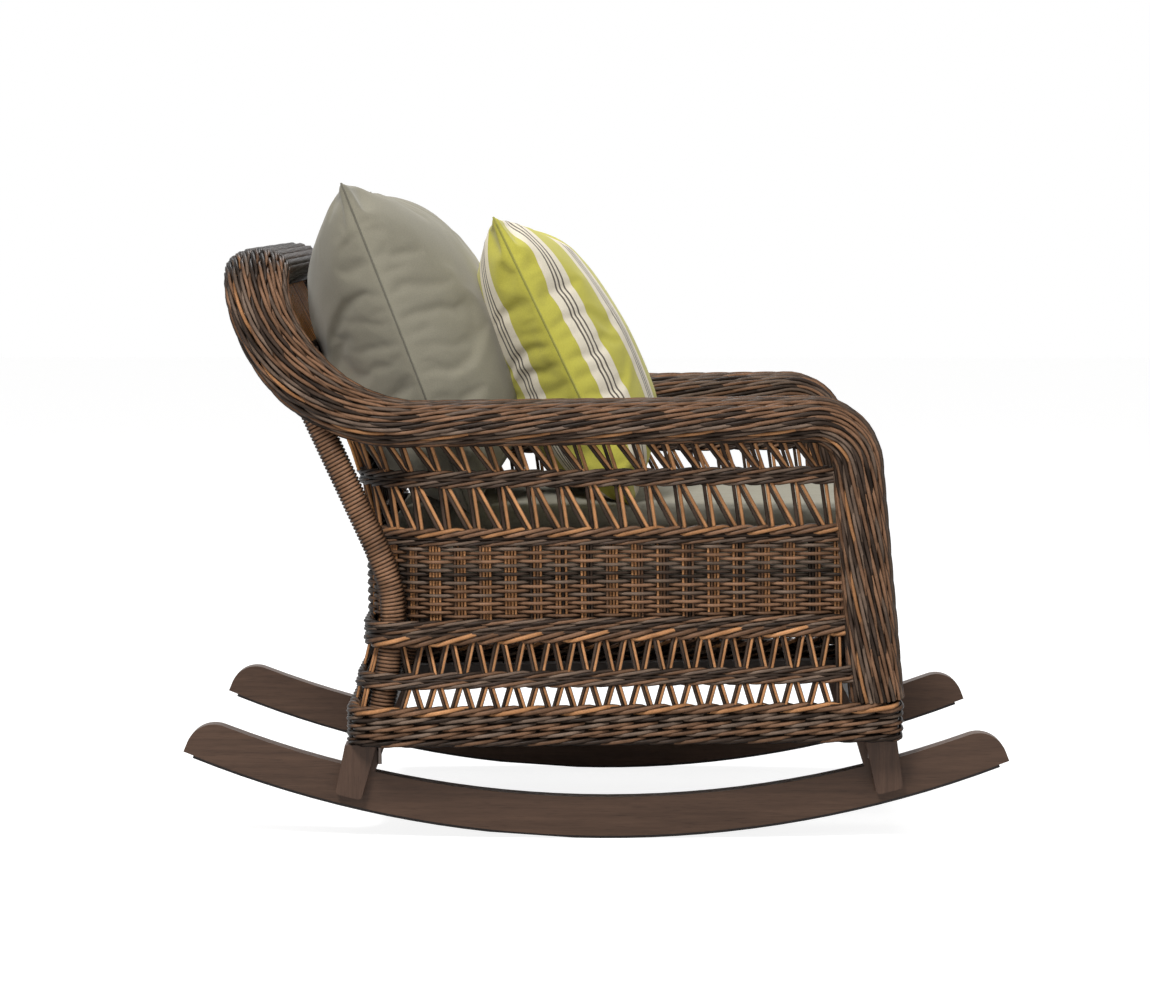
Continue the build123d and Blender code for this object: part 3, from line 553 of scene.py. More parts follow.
def rollSections():
    # (place, heading, half depth, half side) from the right foot to the middle of the head.
    lean, end, y = radians(chair["postLean"]), radians(roll["wingEnd"]), -chair["rollHalf"]
    step, corner, halfSide, bend = roll["step"], roll["armCorner"], roll["halfSide"], roll["turnRadius"]
    turn = pi / 2 - lean
    run = corner * tan(turn / 2)
    startZ = chair["armZ"] - run * cos(lean)
    centreX, centreZ = postX(chair["armZ"]) - run, chair["armZ"] - corner
    sections = []
    for share in shares(startZ - roll["footZ"], step):
        z = blended(roll["footZ"], startZ, share)
        depth = blended(roll["footDepth"], roll["cornerDepth"], share)
        sections.append((Vector((postX(z), y, z)), Vector((-sin(lean), 0, cos(lean))), depth, halfSide))
    for share in shares(corner * turn, step):
        angle = turn * (1 - share)
        place = Vector((centreX + corner * sin(angle), y, centreZ + corner * cos(angle)))
        depth = blended(roll["cornerDepth"], roll["armDepth"], share)
        sections.append((place, Vector((-cos(angle), 0, sin(angle))), depth, halfSide))
    for share in shares(centreX - chair["wingX"], step):
        place = Vector((blended(centreX, chair["wingX"], share), y, chair["armZ"]))
        sections.append((place, Vector((-1, 0, 0)), roll["armDepth"], halfSide))
    for share in shares(chair["wingRadius"] * end, step):
        climb = end * share
        x, z = wingPoint(climb)
        depth = blended(roll["armDepth"], roll["wingDepth"], min(1, roll["wingSwell"] * share))
        sections.append((Vector((x, y, z)), Vector((-cos(climb), 0, sin(climb))), depth, halfSide))
    for share in shares(bend * pi / 2, step):
        turned = pi / 2 * share
        climb = end + bend * sin(turned) / chair["wingRadius"]
        x, z = wingPoint(climb)
        place = Vector((x, y + bend * (1 - cos(turned)), z))
        heading = Vector((-cos(climb) * cos(turned), sin(turned), sin(climb) * cos(turned)))
        depth = blended(roll["wingDepth"], roll["headDepth"], share)
        sections.append((place, heading, depth, blended(halfSide, roll["headSide"], share)))
    x, z = wingPoint(end + bend / chair["wingRadius"])
    headHalf = chair["rollHalf"] - bend
    for share in shares(headHalf, step, True):
        place = Vector((x, -headHalf * (1 - share), z))
        sections.append((place, Vector((0, 1, 0)), roll["headDepth"], roll["headSide"]))
    return sections


def rollFrames():
    right = rollSections()
    left = []
    for (x, y, z), heading, depth, side in reversed(right[:-1]):
        left.append((Vector((x, -y, z)), Vector((-heading.x, heading.y, -heading.z)), depth, side))
    frames, run, last = [], 0.0, None
    for i, (place, heading, depth, side) in enumerate(right + left):
        flat = hypot(heading.x, heading.z)
        sign = 1 if i < len(right) else -1
        down = Vector((-heading.z / flat, 0, heading.x / flat)) * sign if flat > 1e-6 else Vector((-1, 0, 0))
        run += (place - last).length * (1 + roll["headTwist"] * abs(heading.y)) if last else 0
        last = place
        frames.append((run, place, down, heading.cross(down).normalized(), depth, side))
    return frames


def rollLines(frames, rows):
    lines = []
    inset = roll["strand"] + roll["swing"]
    for angle, tones, phase in rows:
        stations = []
        for run, place, down, outer, depth, side in frames:
            spot = down * (depth * cos(angle)) + outer * (side * sin(angle))
            normal = (down * (side * cos(angle)) + outer * (depth * sin(angle))).normalized()
            across = (outer * (side * cos(angle)) - down * (depth * sin(angle))).normalized()
            width = pi * (depth + side) / roll["rows"]
            stations.append((run, place + spot - normal * inset, normal, across * (width * roll["sway"])))
        lines += rope(stations, roll["swing"], 1.0, roll["period"], tones, phase)
    return lines


def shell(frames, inset, sides=20):
    # A closed tube through the sections, moved on one section at a time.
    shape = bmesh.new()
    ring = bmesh.ops.create_circle(shape, cap_ends=False, radius=1, segments=sides)["verts"]
    spots = {vert: (vert.co.x, vert.co.y) for vert in ring}
    edges = list(shape.edges)
    for i, (run, place, down, outer, depth, side) in enumerate(frames):
        if i:
            grown = bmesh.ops.extrude_edge_only(shape, edges=edges)["geom"]
            verts = [item for item in grown if isinstance(item, bmesh.types.BMVert)]
            edges = [item for item in grown if isinstance(item, bmesh.types.BMEdge)]
            last = {tuple(round(n, 6) for n in vert.co): spot for vert, spot in spots.items()}
            spots = {vert: last[tuple(round(n, 6) for n in vert.co)] for vert in verts}
        for vert, (across, around) in spots.items():
            vert.co = place + down * (across * (depth - inset)) + outer * (around * (side - inset))
    bmesh.ops.holes_fill(shape, edges=[edge for edge in shape.edges if edge.is_boundary], sides=0)
    bmesh.ops.recalc_face_normals(shape, faces=list(shape.faces))
    return shape


def rollMesh(name, frames, rows):
    whole = weaveMesh(name, {roll["strand"]: rollLines(frames, rows)})
    core = bpy.data.meshes.new(name + "Core")
    # The core takes the first tone, caneDark: painted shade that shows through the gaps between the strands.
    inner = shell(frames, roll["coreInset"])
    inner.to_mesh(core)
    inner.free()
    whole.from_mesh(core)
    bpy.data.meshes.remove(core)
    return whole


rollRows = []
for i in range(roll["rows"]):
    rollRows.append((2 * pi * i / roll["rows"], pickTones(3), chance.random()))
frames = rollFrames()
headStart = next(i for i, item in enumerate(frames) if item[1].y > roll["headCut"] - chair["backHalf"])
headEnd = len(frames) - 1 - headStart
for name, part, node in (
    ("armRollRight", frames[: headStart + 1], "arm_roll_right"),
    ("headRoll", frames[headStart : headEnd + 1], "head_roll"),
    ("armRollLeft", frames[headEnd:], "arm_roll_left"),
):
    addWicker(name, rollMesh(name, part, rollRows), [node])


# Woven walls: borders and bands of twisted rope round the sides and back, close weave, lattices.

bands = {
    "step": 0.0075,
    "period": 0.092,
    "thick": 0.003,  # strands above this radius are copper and brown
    "closeRows": 0.02,  # rows nearer than this have a filler between them
    "headInset": 0.006,
    # name: (row middle, strand radius, swing, sway, filler radius)
    "skirt": [(0.2225, 0.0028, 0.0036, 0.0036, 0.0035), (0.2345, 0.0028, 0.0036, 0.0036, 0.0035)],
    "lower": [
        (0.2842, 0.0037, 0.0043, 0.0062, 0.0050),
        (0.2985, 0.0026, 0.0048, 0.0030, 0.0040),
        (0.3078, 0.0026, 0.0048, 0.0028, 0.0040),
    ],
    "upper": [(0.4172, 0.0025, 0.0050, 0.0030, 0.0040), (0.4312, 0.0033, 0.0045, 0.0052, 0.0050)],
    "middle": [(0.4995, 0.0027, 0.0045, 0.0040, 0.0040), (0.5128, 0.0027, 0.0045, 0.0040, 0.0040)],
    "head": [(0.6680, 0.0033, 0.0045, 0.0045, 0.0045), (0.6830, 0.0033, 0.0045, 0.0045, 0.0045)],
}


def bandLines(rows, reach=None, kind=None):
    strands, fillers = {}, {}
    for z, radius, swing, sway, filler in rows:
        stations = wallStations(z, bands["step"], reach)
        tones = [copper, brown, brown] if radius > bands["thick"] else [dark, brown, grey]
        if kind:
            tones = pickTones(3, kind)
        lines = rope(stations, swing, sway, bands["period"], tones, chance.random())
        strands.setdefault(radius, []).extend(lines)
        fillers.setdefault(filler, []).append(shadeStrand(stations))
    # Close rows get a dark filler between them: painted shade in the gap between the rows.
    for row, nextRow in zip(rows, rows[1:]):
        if nextRow[0] - row[0] < bands["closeRows"]:
            between = wallStations((row[0] + nextRow[0]) / 2, bands["step"], reach)
            fillers.setdefault(row[-1], []).append(shadeStrand(between))
    for radius, lines in fillers.items():
        strands.setdefault(radius, []).extend(lines)
    return strands


panelNodes = ["side_panel_right", "side_panel_left", "back_panel"]
addWeave("borderRopes", bandLines(bands["lower"] + bands["upper"]), panelNodes)
addWeave("middleBand", bandLines(bands["middle"]), ["side_band_right", "side_band_left", "back_band"])
addWeave("skirtBand", bandLines(bands["skirt"]), ["skirt_band_right", "skirt_band_left", "skirt_band_rear"])
headBand = bandLines(bands["head"], chair["backHalf"] - bands["headInset"], "head")
addWeave("headBand", headBand, ["head_band"])

weave = {
    "high": 0.4125,
    "rows": 17,
    "pitch": 0.035,
    "strand": 0.0028,
    "swing": 0.0046,
    "stake": 0.0022,
    "stakeGap": 0.0044,
    "stakeRow": (-1.5, -0.5, 0.5, 1.5),
    "stakeFoot": 0.010,  # how far the stakes run past the weave, down and up
    "stakeHead": 0.004,
    "perStake": 6,
}


def closeWeave():
    # Weavers go in front of one group of stakes and behind the next, row against row.
    weavers, stakes = [], []
    pitch, reach = weave["pitch"], wallHalfLength(weave["high"])
    groupsAcross = int(reach / pitch)
    for row in range(weave["rows"]):
        z = blended(chair["weaveLow"], weave["high"], (row + 0.5) / weave["rows"])
        points = []
        for along, place, outward, upward in wallStations(z, pitch / weave["perStake"]):
            points.append(place + outward * (weave["swing"] * cos(pi * along / pitch + row * pi)))
        weavers.append((points, pickTones(1, "weaver")[0]))
    for i in range(-groupsAcross, groupsAcross + 1):
        for k in weave["stakeRow"]:
            along = i * pitch + k * weave["stakeGap"]
            if abs(along) < reach:
                foot = wallSpot(along, chair["weaveLow"]) - up * weave["stakeFoot"]
                head = wallSpot(along, weave["high"] + weave["stakeHead"])
                stakes.append(([foot, head], pickTones(1, "stake")[0]))
    return {weave["strand"]: weavers, weave["stake"]: stakes}


addWeave("closeWeave", closeWeave(), panelNodes)

lattice = {
    # low, high, and where the leaning pair's head and foot stand from the upright
    "rows": ((0.440, 0.493, 0.006, 0.030), (0.519, 0.551, 0.019, 0.036)),
    "pitch": 0.0405,
    "cane": 0.0029,
    "gap": 0.0060,  # between the two canes of a pair
    "sink": 0.004,  # how far a cane runs into the band
    "endGap": 0.006,
}
skirt = {
    "rows": ((0.194, 0.2155, False), (0.241, 0.275, True)),  # low, high, open upwards
    "pitch": 0.0351,
    "cane": 0.0023,
    "gap": 0.0047,
    "tip": 0.0040,  # half the spread of a V at its narrow and wide ends
    "mouth": 0.0133,
    "firstX": -0.2535,
    "sideCount": 17,
    "lastX": 0.336,
    "rearReach": 0.27,
    "cornerShare": 0.45,
    "cornerGap": 0.0058,
}


def pairOfCanes(lines, spot, foot, head, zLow, zHigh, tones, gap):
    # spot(distance, height) gives the places that the two canes join.
    for offset, tone in zip((-0.5, 0.5), tones):
        low = spot(foot + offset * gap, zLow - lattice["sink"])
        high = spot(head + offset * gap, zHigh + lattice["sink"])
        lines.append(([low, high], tone))


def sideLattice():
    # Upright pairs with one leaning pair between; distances run from an upright towards the front.
    lines = []
    for zLow, zHigh, headShift, footShift in lattice["rows"]:
        reach = wallHalfLength(zHigh) - lattice["endGap"]
        count = int(reach / lattice["pitch"])
        for i in range(-count, count + 1):
            along = i * lattice["pitch"]
            side, tones = (-1, (copper, dark)) if along <= 0 else (1, (dark, copper))
            pairOfCanes(lines, wallSpot, along, along, zLow, zHigh, tones, lattice["gap"])
            foot, head = along + side * footShift, along + side * headShift
            if abs(foot) < reach:
                pairOfCanes(lines, wallSpot, foot, head, zLow, zHigh, tones, lattice["gap"])
    return lines


def rearSpot(y, z):
    return Vector((skirtRearX(z), y, z))


def frontSpot(y, z):
    x = skirtFrontX(z)
    return Vector((x, y, z + skirtLift(x, z)))


def sideSpots(side):
    # Places along a side, and round its rear corner.
    def along(x, z):
        return Vector((x, side * skirtHalf(z), z + skirtLift(x, z)))

    def corner(run, z):
        turned = chair["baseCorner"] * pi / 2 * skirt["cornerShare"]
        return wallSpot(side * (skirtHalf(z) - chair["baseCorner"] + turned + run), z, True)

    return along, corner


def skirtV(lines, spot, middle, tones):
    # The lower row's pairs meet at the top and the upper row's at the bottom.
    for zLow, zHigh, openUp in skirt["rows"]:
        for side in (-1, 1):
            narrow, wide = middle + side * skirt["tip"], middle + side * skirt["mouth"]
            foot, head = (narrow, wide) if openUp else (wide, narrow)
            pairOfCanes(lines, spot, foot, head, zLow, zHigh, tones, skirt["gap"])


def skirtRun(lines, spot, reach, tones):
    count = int(reach / skirt["pitch"])
    for i in range(-count, count + 1):
        skirtV(lines, spot, i * skirt["pitch"], tones)
    return lines


def skirtLattice():
    lines = skirtRun([], rearSpot, skirt["rearReach"], (copper, dark))
    for side in (-1, 1):
        along, corner = sideSpots(side)
        for i in range(skirt["sideCount"]):
            skirtV(lines, along, skirt["firstX"] + i * skirt["pitch"], (dark, copper))
        for zLow, zHigh, openUp in skirt["rows"]:
            last = skirt["lastX"]
            pairOfCanes(lines, along, last, last, zLow, zHigh, (dark, copper), skirt["gap"])
            pairOfCanes(lines, corner, 0, 0, zLow, zHigh, (copper, copper), skirt["cornerGap"])
    return lines


addWeave("sideStakes", {lattice["cane"]: sideLattice()}, ["side_stakes_right", "side_stakes_left"])
skirtNodes = ["skirt_stakes_right", "skirt_stakes_left", "skirt_stakes_rear"]
addWeave("skirtStakes", {skirt["cane"]: skirtLattice()}, skirtNodes)


back = {
    "cane": 0.0024,
    "gap": 0.0050,
    "pitch": 0.026,
    "low": 0.515,
    "head": 0.790,
    "step": 0.03,
    "endGap": 0.008,
}


def backCanes():
    # Close groups of canes from the middle band up into the head roll, in the amber tone with painted light.
    lines = []
    count = int((chair["backHalf"] - back["endGap"]) / back["pitch"])
    steps = shares(back["head"] - back["low"], back["step"], True)
    heights = [blended(back["low"], back["head"], share) for share in steps]
    for i in range(-count, count + 1):
        for k in (-1, 0, 1):
            along = i * back["pitch"] + k * back["gap"]
            lines.append(([Vector((backMiddleX(z), along, z)) for z in heights], paintedLightAmber))
    return {back["cane"]: lines}


addWeave("backCanes", backCanes(), ["back_stakes"])


# Base braid: five rope rows round the closed ring.

base = {
    # (height, strand radius, swing, sway)
    "rows": [
        (0.1438, 0.0030, 0.0078, 0.0036),
        (0.1543, 0.0030, 0.0078, 0.0036),
        (0.1648, 0.0030, 0.0078, 0.0036),
        (0.1752, 0.0030, 0.0078, 0.0036),
        (0.1866, 0.0037, 0.0072, 0.0048),
    ],
    "step": 0.008,
    "cornerSteps": 4,
    "period": 0.100,
    "filler": 0.0058,
    "footCover": (0.318, 0.345, 0.010),  # the top rope steps out round the foot of a front roll
}


def ringStations(z, step):
    # Rounded rectangle in plan, through its four corners: rear right, front right, front left, rear left.
    inset = chair["baseWall"] / 2
    path = []
    for quarter, sideX, sideY in ((2, -1, -1), (3, 1, -1), (0, 1, 1), (1, -1, 1)):
        end, radius = chair["baseFront"], chair["baseFrontCorner"] - inset
        if sideX < 0:
            end, radius = chair["baseRear"], chair["baseCorner"] - inset
        centre = Vector((end - sideX * (inset + radius), sideY * (chair["baseHalf"] - inset - radius), z))
        arcSteps = max(base["cornerSteps"], round(radius * pi / 2 / step))
        for i in range(arcSteps + 1):
            angle = pi / 2 * (quarter + i / arcSteps)
            normal = Vector((cos(angle), sin(angle), 0))
            path.append((centre + normal * radius, normal))
    full = []
    for (place, normal), (nextPlace, nextNormal) in zip(path, path[1:] + path[:1]):
        count = max(1, round((nextPlace - place).length / step))
        for i in range(count):
            full.append((place.lerp(nextPlace, i / count), normal.lerp(nextNormal, i / count).normalized()))
    full.reverse()  # the way the side bands run: front to rear on the right side
    stations, run, last = [], 0.0, None
    for place, normal in full:
        run += (place - last).length if last else 0
        last = place
        stations.append((run, place, normal, up))
    return stations, run + (full[0][0] - last).length


def coverFoot(place):
    # The top rope runs outside the feet of the front rolls.
    first, last, reach = base["footCover"]
    if abs(place.y) < chair["coverSide"][0]:
        return place
    step = reach * clamped((place.x - first) / (last - first))
    return place + Vector((0, step if place.y > 0 else -step, 0))


def baseBraid():
    strands, fillers = {}, []
    for row, (z, radius, swing, sway) in enumerate(base["rows"], 1):
        stations, total = ringStations(z, base["step"])
        if row == len(base["rows"]):
            stations = [(run, coverFoot(place), outward, upward) for run, place, outward, upward in stations]
            tones = [copper, brown, brown]
        else:
            tones = pickTones(3, "base")
        period = total / round(total / base["period"])
        lines = rope(stations, swing, sway, period, tones, chance.random())
        strands.setdefault(radius, []).extend(lines)
        # Each rope gets a dark filler through its middle: painted shade between its strands.
        fillers.append(shadeStrand(stations))
    strands[base["filler"]] = fillers
    return strands


baseNodes = ["base_braid_right", "base_braid_left", "base_braid_front", "base_braid_rear"]
addWeave("baseBraid", baseBraid(), baseNodes, closed=True)


# Front of the seat: rope border, band and lattice between the two front rolls.

front = {
    "rows": [  # as the rows of the bands
        (0.2848, 0.0037, 0.0060, 0.0062, 0.0060),
        (0.2995, 0.0028, 0.0060, 0.0038, 0.0060),
        (0.3120, 0.0030, 0.0060, 0.0045, 0.0060),
        (0.3258, 0.0032, 0.0060, 0.0045, 0.0060),
    ],
    "overlap": 0.006,
}


def frontLines(rows):
    strands = {}
    half = chair["rollInner"] + front["overlap"]
    for z, radius, swing, sway, filler in rows:
        stations = []
        for share in shares(2 * half, bands["step"], True):
            along = 2 * half * share
            stations.append((along, frontSpot(half - along, z), Vector((1, 0, 0)), up))
        lines = rope(stations, swing, sway, bands["period"], pickTones(3), chance.random())
        strands.setdefault(radius, []).extend(lines)
        strands.setdefault(filler, []).append(shadeStrand(stations))
    return strands


frontStakes = skirtRun([], frontSpot, chair["rollInner"], (dark, copper))
addWeave("frontBorder", frontLines(front["rows"]), ["front_border"])
addWeave("frontBand", frontLines(bands["skirt"]), ["skirt_band_front"])
addWeave("frontStakes", {skirt["cane"]: frontStakes}, ["skirt_stakes_front"])


# Rear posts, wound with cane from the base to the wing.

wrap = {
    "radius": 0.0189,
    "cane": 0.0027,
    "pitch": 0.0054,
    "perTurn": 9,
    "coreInset": 0.0045,
    "path": [  # (x, z) from the base to the wing
        (-0.3050, 0.150),
        (-0.2945, 0.200),
        (-0.2850, 0.252),
        (-0.2790, 0.295),
        (-0.2785, 0.335),
        (-0.2835, 0.368),
        (-0.2965, 0.405),
        (-0.3175, 0.4515),
        (-0.3600, 0.547),
        (-0.4065, 0.650),
    ],
}


def postPath():
    # The post's line, eased at its two bends by a smooth spline.
    curve = bpy.data.curves.new("postLine", "CURVE")
    curve.dimensions = "3D"
    curve.resolution_u = 24
    spline = curve.splines.new("NURBS")
    spline.points.add(len(wrap["path"]) - 1)
    for knot, (x, z) in zip(spline.points, wrap["path"]):
        knot.co = (x, 0, z, 1)
    spline.order_u = 3
    spline.use_endpoint_u = True
    holder = bpy.data.objects.new("postLine", curve)
    made = bpy.data.meshes.new_from_object(holder)
    points = [vert.co.copy() for vert in made.vertices]
    bpy.data.objects.remove(holder)
    bpy.data.curves.remove(curve)
    bpy.data.meshes.remove(made)
    return points


def postLines(side):
    line, runs = postPath(), [0.0]
    for a, b in zip(line, line[1:]):
        runs.append(runs[-1] + (b - a).length)
    count = int(runs[-1] / wrap["pitch"] * wrap["perTurn"])
    winding, j = [], 0
    reach = wrap["radius"] - wrap["cane"]
    aside = Vector((0, side * chair["postOuter"], 0))
    for i in range(count):
        run = runs[-1] * i / count
        while runs[j + 1] < run:
            j += 1
        place = line[j].lerp(line[j + 1], (run - runs[j]) / (runs[j + 1] - runs[j]))
        heading = (line[j + 1] - line[j]).normalized()
        across = Vector((heading.z, 0, -heading.x))
        angle = 2 * pi * i / wrap["perTurn"] * -side
        spot = across * (reach * cos(angle)) + Vector((0, reach * sin(angle), 0))
        winding.append(place + spot + aside)
    # The dark core is painted shade that shows between the turns of the winding.
    core = [place + aside for place in line]
    return {wrap["cane"]: [(winding, brown)], reach - wrap["coreInset"]: [(core, dark)]}


for side, name in ((-1, "Right"), (1, "Left")):
    addWeave("postWrap" + name, postLines(side), ["back_post_wrap_" + name.lower()])


# Cushions

pillow = {
    "sideCurve": (2.0, 0.62),  # powers that shape the fullness from side to side, and up and down
    "endCurve": (3.2, 0.60),
    "taperFrom": 0.5,  # share of the half height over which the taper comes in
    "seamSteps": 10,  # for measuring over the cloth
    "seamReach": 0.0004,  # points this near the seam are held while the cloth fills
    "weltSteps": 40,
}
fillingFrames = 20
filling = {
    "quality": 6,
    "mass": 0.25,
    "tension_stiffness": 18,
    "compression_stiffness": 18,
    "shear_stiffness": 6,
    "use_pressure": True,
    "vertex_group_mass": "seam",
}
backPillow = {
    "halfWidth": 0.292,
    "halfHeight": 0.245,
    "halfThickness": 0.112,
    "taper": (0.0, 0.07),  # how much thinner the upper half is, rear and front
    "edge": 0.0025,
    "waist": 0.045,
    "cutsAcross": 94,
    "cutsUp": 78,
    "centre": (-0.2630, 0, 0.6765),
    "lean": 21.25,
    "roll": -1.2,
    "pressure": 3.0,
    "growth": 0.028,
    "bending": 0.6,
    "cap": 0.024,
    "fill": 0.75,
    "welt": 0.0015,
    "frontShift": 0.0,
}
throwPillow = {
    **backPillow,
    "halfWidth": 0.225,
    "halfHeight": 0.225,
    "halfThickness": 0.082,
    "taper": (0.10, 0.11),
    "waist": 0.05,
    "cutsAcross": 74,
    "cutsUp": 74,
    "centre": (-0.0455, 0, 0.656),
    "lean": 25.6,
    "growth": 0.03,
    "cap": 0.020,
    "fill": 0.8,
    "welt": 0.0016,
    "frontShift": 0.024,  # the front's stripes start nearer the seam
}
seat = {
    "inset": 0.006,
    "corner": (0.030, 5),  # radius and segments
    "rearCorner": (0.080, 8),
    "voxel": 0.008,
    "pressure": 2.5,
    "growth": 0.012,
    "bending": 1.2,
    "cap": 0.010,
    "fill": 0.85,
}


def pillowThickness(across, high, half):
    sidePower, sideEase = pillow["sideCurve"]
    endPower, endEase = pillow["endCurve"]
    sideShare = max(0.0, 1 - abs(across) ** sidePower) ** sideEase
    endShare = max(0.0, 1 - abs(high) ** endPower) ** endEase
    return half * (sideShare * endShare)


def pillowOutline(across, high, spec):
    # The sides are drawn in between the corners.
    waist = 1 - spec["waist"] * (1 - high**2) * abs(across)
    drop = 1 - spec["waist"] * (1 - across**2) * abs(high)
    return across * spec["halfWidth"] * waist, high * spec["halfHeight"] * drop


def seamDistance(across, high, spec):
    # How far over the cloth a point lies from the nearest side seam.
    steps, total, last = pillow["seamSteps"], 0.0, None
    for i in range(steps + 1):
        share = 1 - (1 - abs(across)) * i / steps
        spot = (share * spec["halfWidth"], pillowThickness(share, high, spec["halfThickness"]))
        total += hypot(spot[0] - last[0], spot[1] - last[1]) if last else 0
        last = spot
    return total


def edgesAlong(shape, axis):
    return [edge for edge in shape.edges if abs(edge.verts[0].co[axis] - edge.verts[1].co[axis]) > 0.01]


def pillowShape(spec):
    # A knife-edge pillow from a subdivided block: full in the middle, thin at its four edges.
    shape = bmesh.new()
    bmesh.ops.create_cube(shape, size=2)
    for axis, cuts in ((1, spec["cutsAcross"]), (2, spec["cutsUp"])):
        bmesh.ops.subdivide_edges(shape, edges=edgesAlong(shape, axis), cuts=cuts, use_grid_fill=True)
    stripe = shape.verts.layers.float.new("stripe")
    for vert in shape.verts:
        front, across, high = vert.co
        half = pillowThickness(across, high, spec["halfThickness"]) + spec["edge"]
        half *= 1 - spec["taper"][front > 0] * clamped(high / pillow["taperFrom"])
        vert[stripe] = seamDistance(across, high, spec) + (spec["frontShift"] if front > 0 else 0)
        vert.co = (front * half, *pillowOutline(across, high, spec))
    return shape


def roundEdges(shape, edges, radius, segments):
    bmesh.ops.bevel(
        shape,
        geom=edges,
        offset=radius,
        offset_type="OFFSET",
        segments=segments,
        profile=0.5,
        affect="EDGES",
        material=-1,
    )


def seatShape():
    # A boxed cushion with round edges, in the space of its solid.
    low, high = (Vector(corner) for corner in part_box("seat_cushion"))
    size = high - low - Vector((2 * seat["inset"], 2 * seat["inset"], 2 * seat["inset"]))
    shape = bmesh.new()
    bmesh.ops.create_cube(shape, size=1)
    bmesh.ops.scale(shape, vec=size, verts=shape.verts)
    rear = [edge for edge in edgesAlong(shape, 2) if edge.verts[0].co.x < 0]
    roundEdges(shape, rear, *seat["rearCorner"])
    upright = edgesAlong(shape, 2)
    roundEdges(shape, [edge for edge in shape.edges if edge not in upright], *seat["corner"])
    bmesh.ops.translate(shape, vec=(low + high) / 2, verts=shape.verts)
    return shape


def placePillow(spec):
    turned = Matrix.Rotation(-radians(spec["lean"]), 4, "Y") @ Matrix.Rotation(radians(spec["roll"]), 4, "X")
    return Matrix.Translation(spec["centre"]) @ turned


def meshWithModifiers(piece):
    view = bpy.context.evaluated_depsgraph_get()
    return bpy.data.meshes.new_from_object(piece.evaluated_get(view))


def evenFaces(piece, voxel):
    # The same shape in small even faces, for the cloth.
    remesh = piece.modifiers.new("even", "REMESH")
    remesh.mode = "VOXEL"
    remesh.voxel_size = voxel
    remesh.use_smooth_shade = True
    mesh = meshWithModifiers(piece)
    piece.modifiers.remove(remesh)
    piece.data = mesh


def puff(piece, spec):
    # Cloth filled with pressure; seams are held, and no point moves further than the cap.
    mesh = piece.data
    start = [vert.co.copy() for vert in mesh.vertices]
    seamHalf = spec["edge"] + pillow["seamReach"] if "edge" in spec else 0
    seam = piece.vertex_groups.new(name="seam")
    seam.add([i for i, place in enumerate(start) if abs(place.x) < seamHalf], 1.0, "REPLACE")
    cloth = piece.modifiers.new("filling", "CLOTH")
    for key, value in filling.items():
        setattr(cloth.settings, key, value)
    cloth.settings.bending_stiffness = spec["bending"]
    cloth.settings.uniform_pressure_force = spec["pressure"]
    cloth.settings.shrink_min = -spec["growth"]
    cloth.settings.effector_weights.gravity = 0
    cloth.collision_settings.use_collision = False
    cloth.point_cache.frame_start = 1
    cloth.point_cache.frame_end = fillingFrames
    for step in range(1, fillingFrames + 1):
        scene.frame_set(step)
    filled = meshWithModifiers(piece)
    for vert, place, swollen in zip(mesh.vertices, start, filled.vertices):
        move = swollen.co - place
        if move.length > spec["cap"]:
            move *= spec["cap"] / move.length
        vert.co = place + move
    piece.modifiers.remove(cloth)
    piece.vertex_groups.remove(seam)
    bpy.data.meshes.remove(filled)
    scene.frame_set(1)


def addCushion(name, shape, spec, material, node):
    piece = newPiece(name, shape, [material])
    if "voxel" in spec:
        evenFaces(piece, spec["voxel"])
    puff(piece, spec)
    if "centre" in spec:
        piece.data.transform(placePillow(spec))
    finer = piece.modifiers.new("finer", "SUBSURF")
    finer.levels = finer.render_levels = 1
    dress(piece, node + "_body", [node])


def addSeam(name, spec, material, node):
    # A closed welt round the rim of a pillow, where its two faces are sewn; its darker cloth is painted
    # shade along the seam.
    points = []
    for side in range(4):
        for i in range(pillow["weltSteps"]):
            share = -1 + 2 * i / pillow["weltSteps"]
            across, high = ((share, 1), (1, -share), (-share, -1), (-1, share))[side]
            points.append((0, *pillowOutline(across, high, spec)))
    welt = weaveMesh(name, {spec["welt"]: [(points, 0)]}, closed=True)
    bmesh.ops.transform(welt, matrix=placePillow(spec), verts=welt.verts)
    dress(newPiece(name, welt, [material]), node + "_body")


stripes = {
    "green": (0.505, 0.465, 0.064),
    "cream": (0.760, 0.690, 0.550),
    "line": (0.095, 0.075, 0.060),
    "starts": (0.060, 0.160),  # of the cream bands, from the side seam
    "width": 0.052,
    "lines": (0.35, 0.52, 0.69),  # their middles, as shares of a band
    "lineWidth": 0.0038,
    "reach": 0.30,
}


def limeStripes(tree):
    # Lime cloth with cream bands, each with three thin lines, laid out from the side seams.
    green, cream, line, width = stripes["green"], stripes["cream"], stripes["line"], stripes["width"]
    layout = addNode(tree, "Attribute", attribute_name="stripe")
    share = addMath(tree, layout.outputs["Fac"], stripes["reach"], "DIVIDE")
    ramp = addNode(tree, "ValToRGB", [("Fac", share)])
    row = ramp.color_ramp
    row.interpolation = "CONSTANT"
    stops = []
    for start in stripes["starts"]:
        stops.append((start, cream))
        for middle in stripes["lines"]:
            stops.append((start + width * middle - stripes["lineWidth"] / 2, line))
            stops.append((start + width * middle + stripes["lineWidth"] / 2, cream))
        stops.append((start + width, green))
    row.elements[0].color = (*green, 1)
    row.elements.remove(row.elements[1])
    for place, colour in stops:
        row.elements.new(place / stripes["reach"]).color = (*colour, 1)
    return ramp.outputs["Color"]


taupe = clothMaterial("taupeCloth", (0.240, 0.222, 0.166))
# The welts are darker copies of their cloths: painted shade along the seam lines.
taupeSeamShade = clothMaterial("taupeSeamShade", (0.130, 0.120, 0.088))
limeSeamShade = clothMaterial("limeSeamShade", (0.300, 0.285, 0.050))
striped = clothMaterial("stripedCloth", limeStripes)

